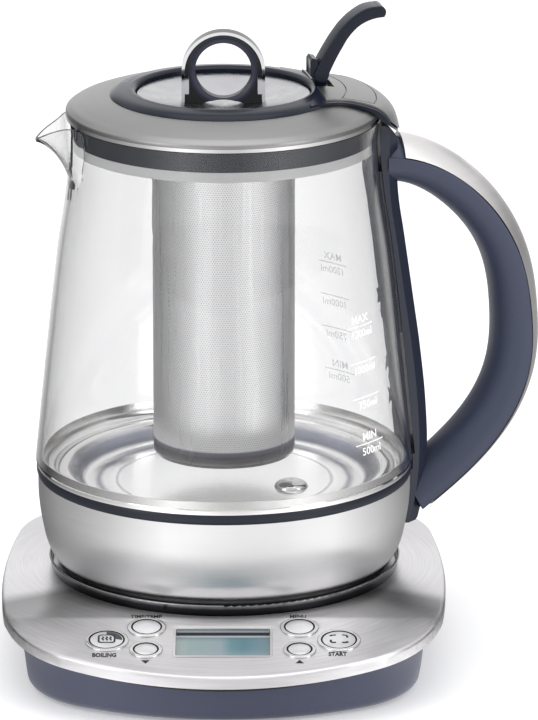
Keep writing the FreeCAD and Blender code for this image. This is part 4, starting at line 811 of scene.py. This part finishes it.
def strainer_holes():
    """The strainer's punched holes. Real ones are about 0.4 mm on a 0.8 mm pitch, drawn a little coarser to
    show."""
    low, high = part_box("strainer_tube")
    pitch, row_pitch, plain_foot, plain_ends = 1.0 * mm, 0.87 * mm, 6 * mm, 22 * mm
    grown("strainer_holes", punched_tree(), {
        "Holes in a row": int(math.tau * high.x / pitch),
        "Rows": int((high.z - low.z - plain_ends) / row_pitch),
        "Row pitch": row_pitch, "Lowest row": low.z + plain_foot, "Radius": high.x + 0.02 * mm,
        "Hole radius": 0.25 * mm, "Finish": hole_shadow}, "strainer")


def ring_marks():
    """Three short raised strokes on the left of the lid ring and one on the right, moulded in paler."""
    ring, foot = surface_of("lid_ring"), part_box("lid_ring")[0].z
    inner, outer, half_width, film = 39.0 * mm, 41.6 * mm, 0.35 * mm, 0.05 * mm
    shapes = []
    for angle in (158.0, 161.5, 165.0, 32.0):
        turn = math.radians(angle)
        shape = slab([(inner, -half_width), (outer, -half_width), (outer, half_width), (inner, half_width)])
        for vertex in shape.verts:
            x, y, level = vertex.co
            spot = Matrix.Rotation(turn, 3, "Z") @ Vector((x, y, ABOVE_LID))
            hit = ring.ray_cast(spot, Vector((0, 0, -1)))[0] or Vector((spot.x, spot.y, foot))
            vertex.co = hit + Vector((0, 0, film * (PRINT_LIFT + level)))
        shapes.append(shape)
    piece_of("ring_marks", shapes, ink_pale, "lid")


ink_pale = silicone("moulded_pale_marks", "#8C93A3", 0.5)
hole_shadow = satin_polypropylene("punched_hole_shadow", "#B9BABD", 0.6, 0.001 * mm)
ink_black = satin_polypropylene("screen_printed_black_ink", "#08080A", 0.5, 0.001 * mm)
ink_grey = satin_polypropylene("screen_printed_grey_ink", "#3A3C42", 0.4, 0.001 * mm)
enamel_full = fired_enamel("fired_white_enamel", 0.85, 0.30)
enamel_thin = fired_enamel("thin_white_enamel", 0.35, 0.25)
panel_lettering()
button_icons()
jug_scale()
strainer_holes()
ring_marks()


# ---- the studio: a pale floor, a soft room and three large lamps ----
# What polished metal sees of the room, by compass direction from the front: soft boxes and dark flags.
ROOM_BELOW = ((-180, 0.60), (-163, 0.58), (-148, 0.25), (-126, 0.04), (-105, 0.16), (-84, 0.24), (-58, 0.42),
              (-28, 0.95), (0, 0.52), (12, 0.50), (44, 0.92), (78, 0.48), (100, 0.26), (132, 0.10),
              (150, 0.30), (163, 0.58), (180, 0.60))
ROOM_ABOVE = ((-180, 0.62), (-163, 0.58), (-148, 0.16), (-125, 0.03), (-100, 0.10), (-60, 0.32), (-35, 0.62),
              (0, 0.34), (44, 0.55), (75, 0.28), (110, 0.06), (148, 0.16), (163, 0.58), (180, 0.62))


def seen_straight(tree):
    """1 for what the camera sees straight or through glass, and 1 for what shiny surfaces reflect."""
    path = add(tree, "ShaderNodeLightPath")
    reflected = add(tree, "ShaderNodeMath", {0: path.outputs["Glossy Depth"], 1: 1.0},
                    operation="MINIMUM").outputs[0]
    plain = add(tree, "ShaderNodeMath", {0: 1.0, 1: reflected}, operation="SUBTRACT").outputs[0]
    through = add(tree, "ShaderNodeMath", {0: path.outputs["Is Transmission Ray"], 1: plain},
                  operation="MULTIPLY")
    straight = add(tree, "ShaderNodeMath", {0: path.outputs["Is Camera Ray"], 1: through.outputs[0]},
                   operation="MAXIMUM")
    return straight.outputs[0], reflected


def studio_floor():
    """A matt white table. It is a little brighter where it is seen than it is lit, and keeps the shadow."""
    mesh = bpy.data.meshes.new("studio_floor")
    shape = bmesh.new()
    bmesh.ops.create_grid(shape, x_segments=4, y_segments=4, size=4.0)
    shape.to_mesh(mesh)
    shape.free()
    floor = bpy.data.objects.new("studio_floor", mesh)
    scene.collection.objects.link(floor)
    made, tree, surface = finish_of("matt_white_floor", "ShaderNodeBsdfDiffuse", Color=linear("#F2F2F2"))
    straight, reflected = seen_straight(tree)
    lift = add(tree, "ShaderNodeMath", {0: straight, 1: FLOOR_LIFT}, operation="MULTIPLY")
    glow = add(tree, "ShaderNodeEmission", {"Color": (1, 1, 1, 1), "Strength": lift.outputs[0]})
    lit = add(tree, "ShaderNodeAddShader", {0: surface.outputs[0], 1: glow.outputs[0]})
    place = add(tree, "ShaderNodeTexCoord").outputs["Object"]
    walls = by_direction(tree, place, ROOM_BELOW, ROOM_BLUE)[0]
    cards = add(tree, "ShaderNodeEmission", {"Color": walls, "Strength": ROOM_LEVEL})
    both = add(tree, "ShaderNodeMixShader", {0: reflected, 1: lit.outputs[0], 2: cards.outputs[0]})
    tree.links.new(both.outputs[0], tree.nodes["Material Output"].inputs["Surface"])
    mesh.materials.append(made)
    made.cycles.emission_sampling = "NONE"


def studio_room():
    """A pale room that is white where it is seen straight or through glass. Light and reflections come from
    its soft boxes, its flags and its bright ceiling."""
    world = bpy.data.worlds.new("studio_room")
    scene.world = world
    world.use_nodes = True
    tree = world.node_tree
    tree.nodes.clear()
    way = add(tree, "ShaderNodeTexCoord").outputs["Generated"]
    walls, height = by_direction(tree, way, ROOM_ABOVE, ROOM_BLUE)
    ceiling = add(tree, "ShaderNodeMapRange", {"Value": height, "From Min": 0.18, "From Max": 0.66},
                  interpolation_type="SMOOTHSTEP")
    shade = add(tree, "ShaderNodeMix", {0: ceiling.outputs["Result"], 6: walls, 7: (0.58, 0.58, 0.59, 1)},
                data_type="RGBA")
    straight = seen_straight(tree)[0]
    lit = add(tree, "ShaderNodeBackground", {"Color": shade.outputs[2], "Strength": ROOM_LEVEL})
    white = add(tree, "ShaderNodeBackground", {"Color": (1, 1, 1, 1), "Strength": 1.0})
    room = add(tree, "ShaderNodeMixShader", {0: straight, 1: lit.outputs[0], 2: white.outputs[0]})
    add(tree, "ShaderNodeOutputWorld", {"Surface": room.outputs[0]})


def lamp(name, place, aim, width, height, power):
    data = bpy.data.lights.new(name, "AREA")
    data.shape = "RECTANGLE"
    data.size, data.size_y, data.energy = width, height, power
    made = bpy.data.objects.new(name, data)
    made.location = place
    made.rotation_euler = (Vector(aim) - Vector(place)).to_track_quat("-Z", "Y").to_euler()
    scene.collection.objects.link(made)


def camera():
    data = bpy.data.cameras.new("camera")
    data.sensor_fit = "VERTICAL"
    data.sensor_height = 36.0
    data.lens = CAMERA_LENS
    data.clip_end = 20.0
    made = bpy.data.objects.new("camera", data)
    made.location = CAMERA_PLACE
    made.rotation_euler = (math.radians(90 - CAMERA_DOWN), 0.0, 0.0)
    scene.collection.objects.link(made)
    scene.camera = made


studio_floor()
studio_room()
lamp("top_lamp", (0.0, -0.15, 1.5), (0, 0, 0.1), 1.3, 1.3, 5.0)
lamp("left_lamp", (-1.3, -1.1, 0.9), (0, 0, 0.12), 0.9, 1.2, 5.0)
lamp("right_lamp", (1.3, -0.8, 0.8), (0, 0, 0.12), 0.6, 1.2, 4.0)
camera()
scene.view_settings.view_transform = "Standard"
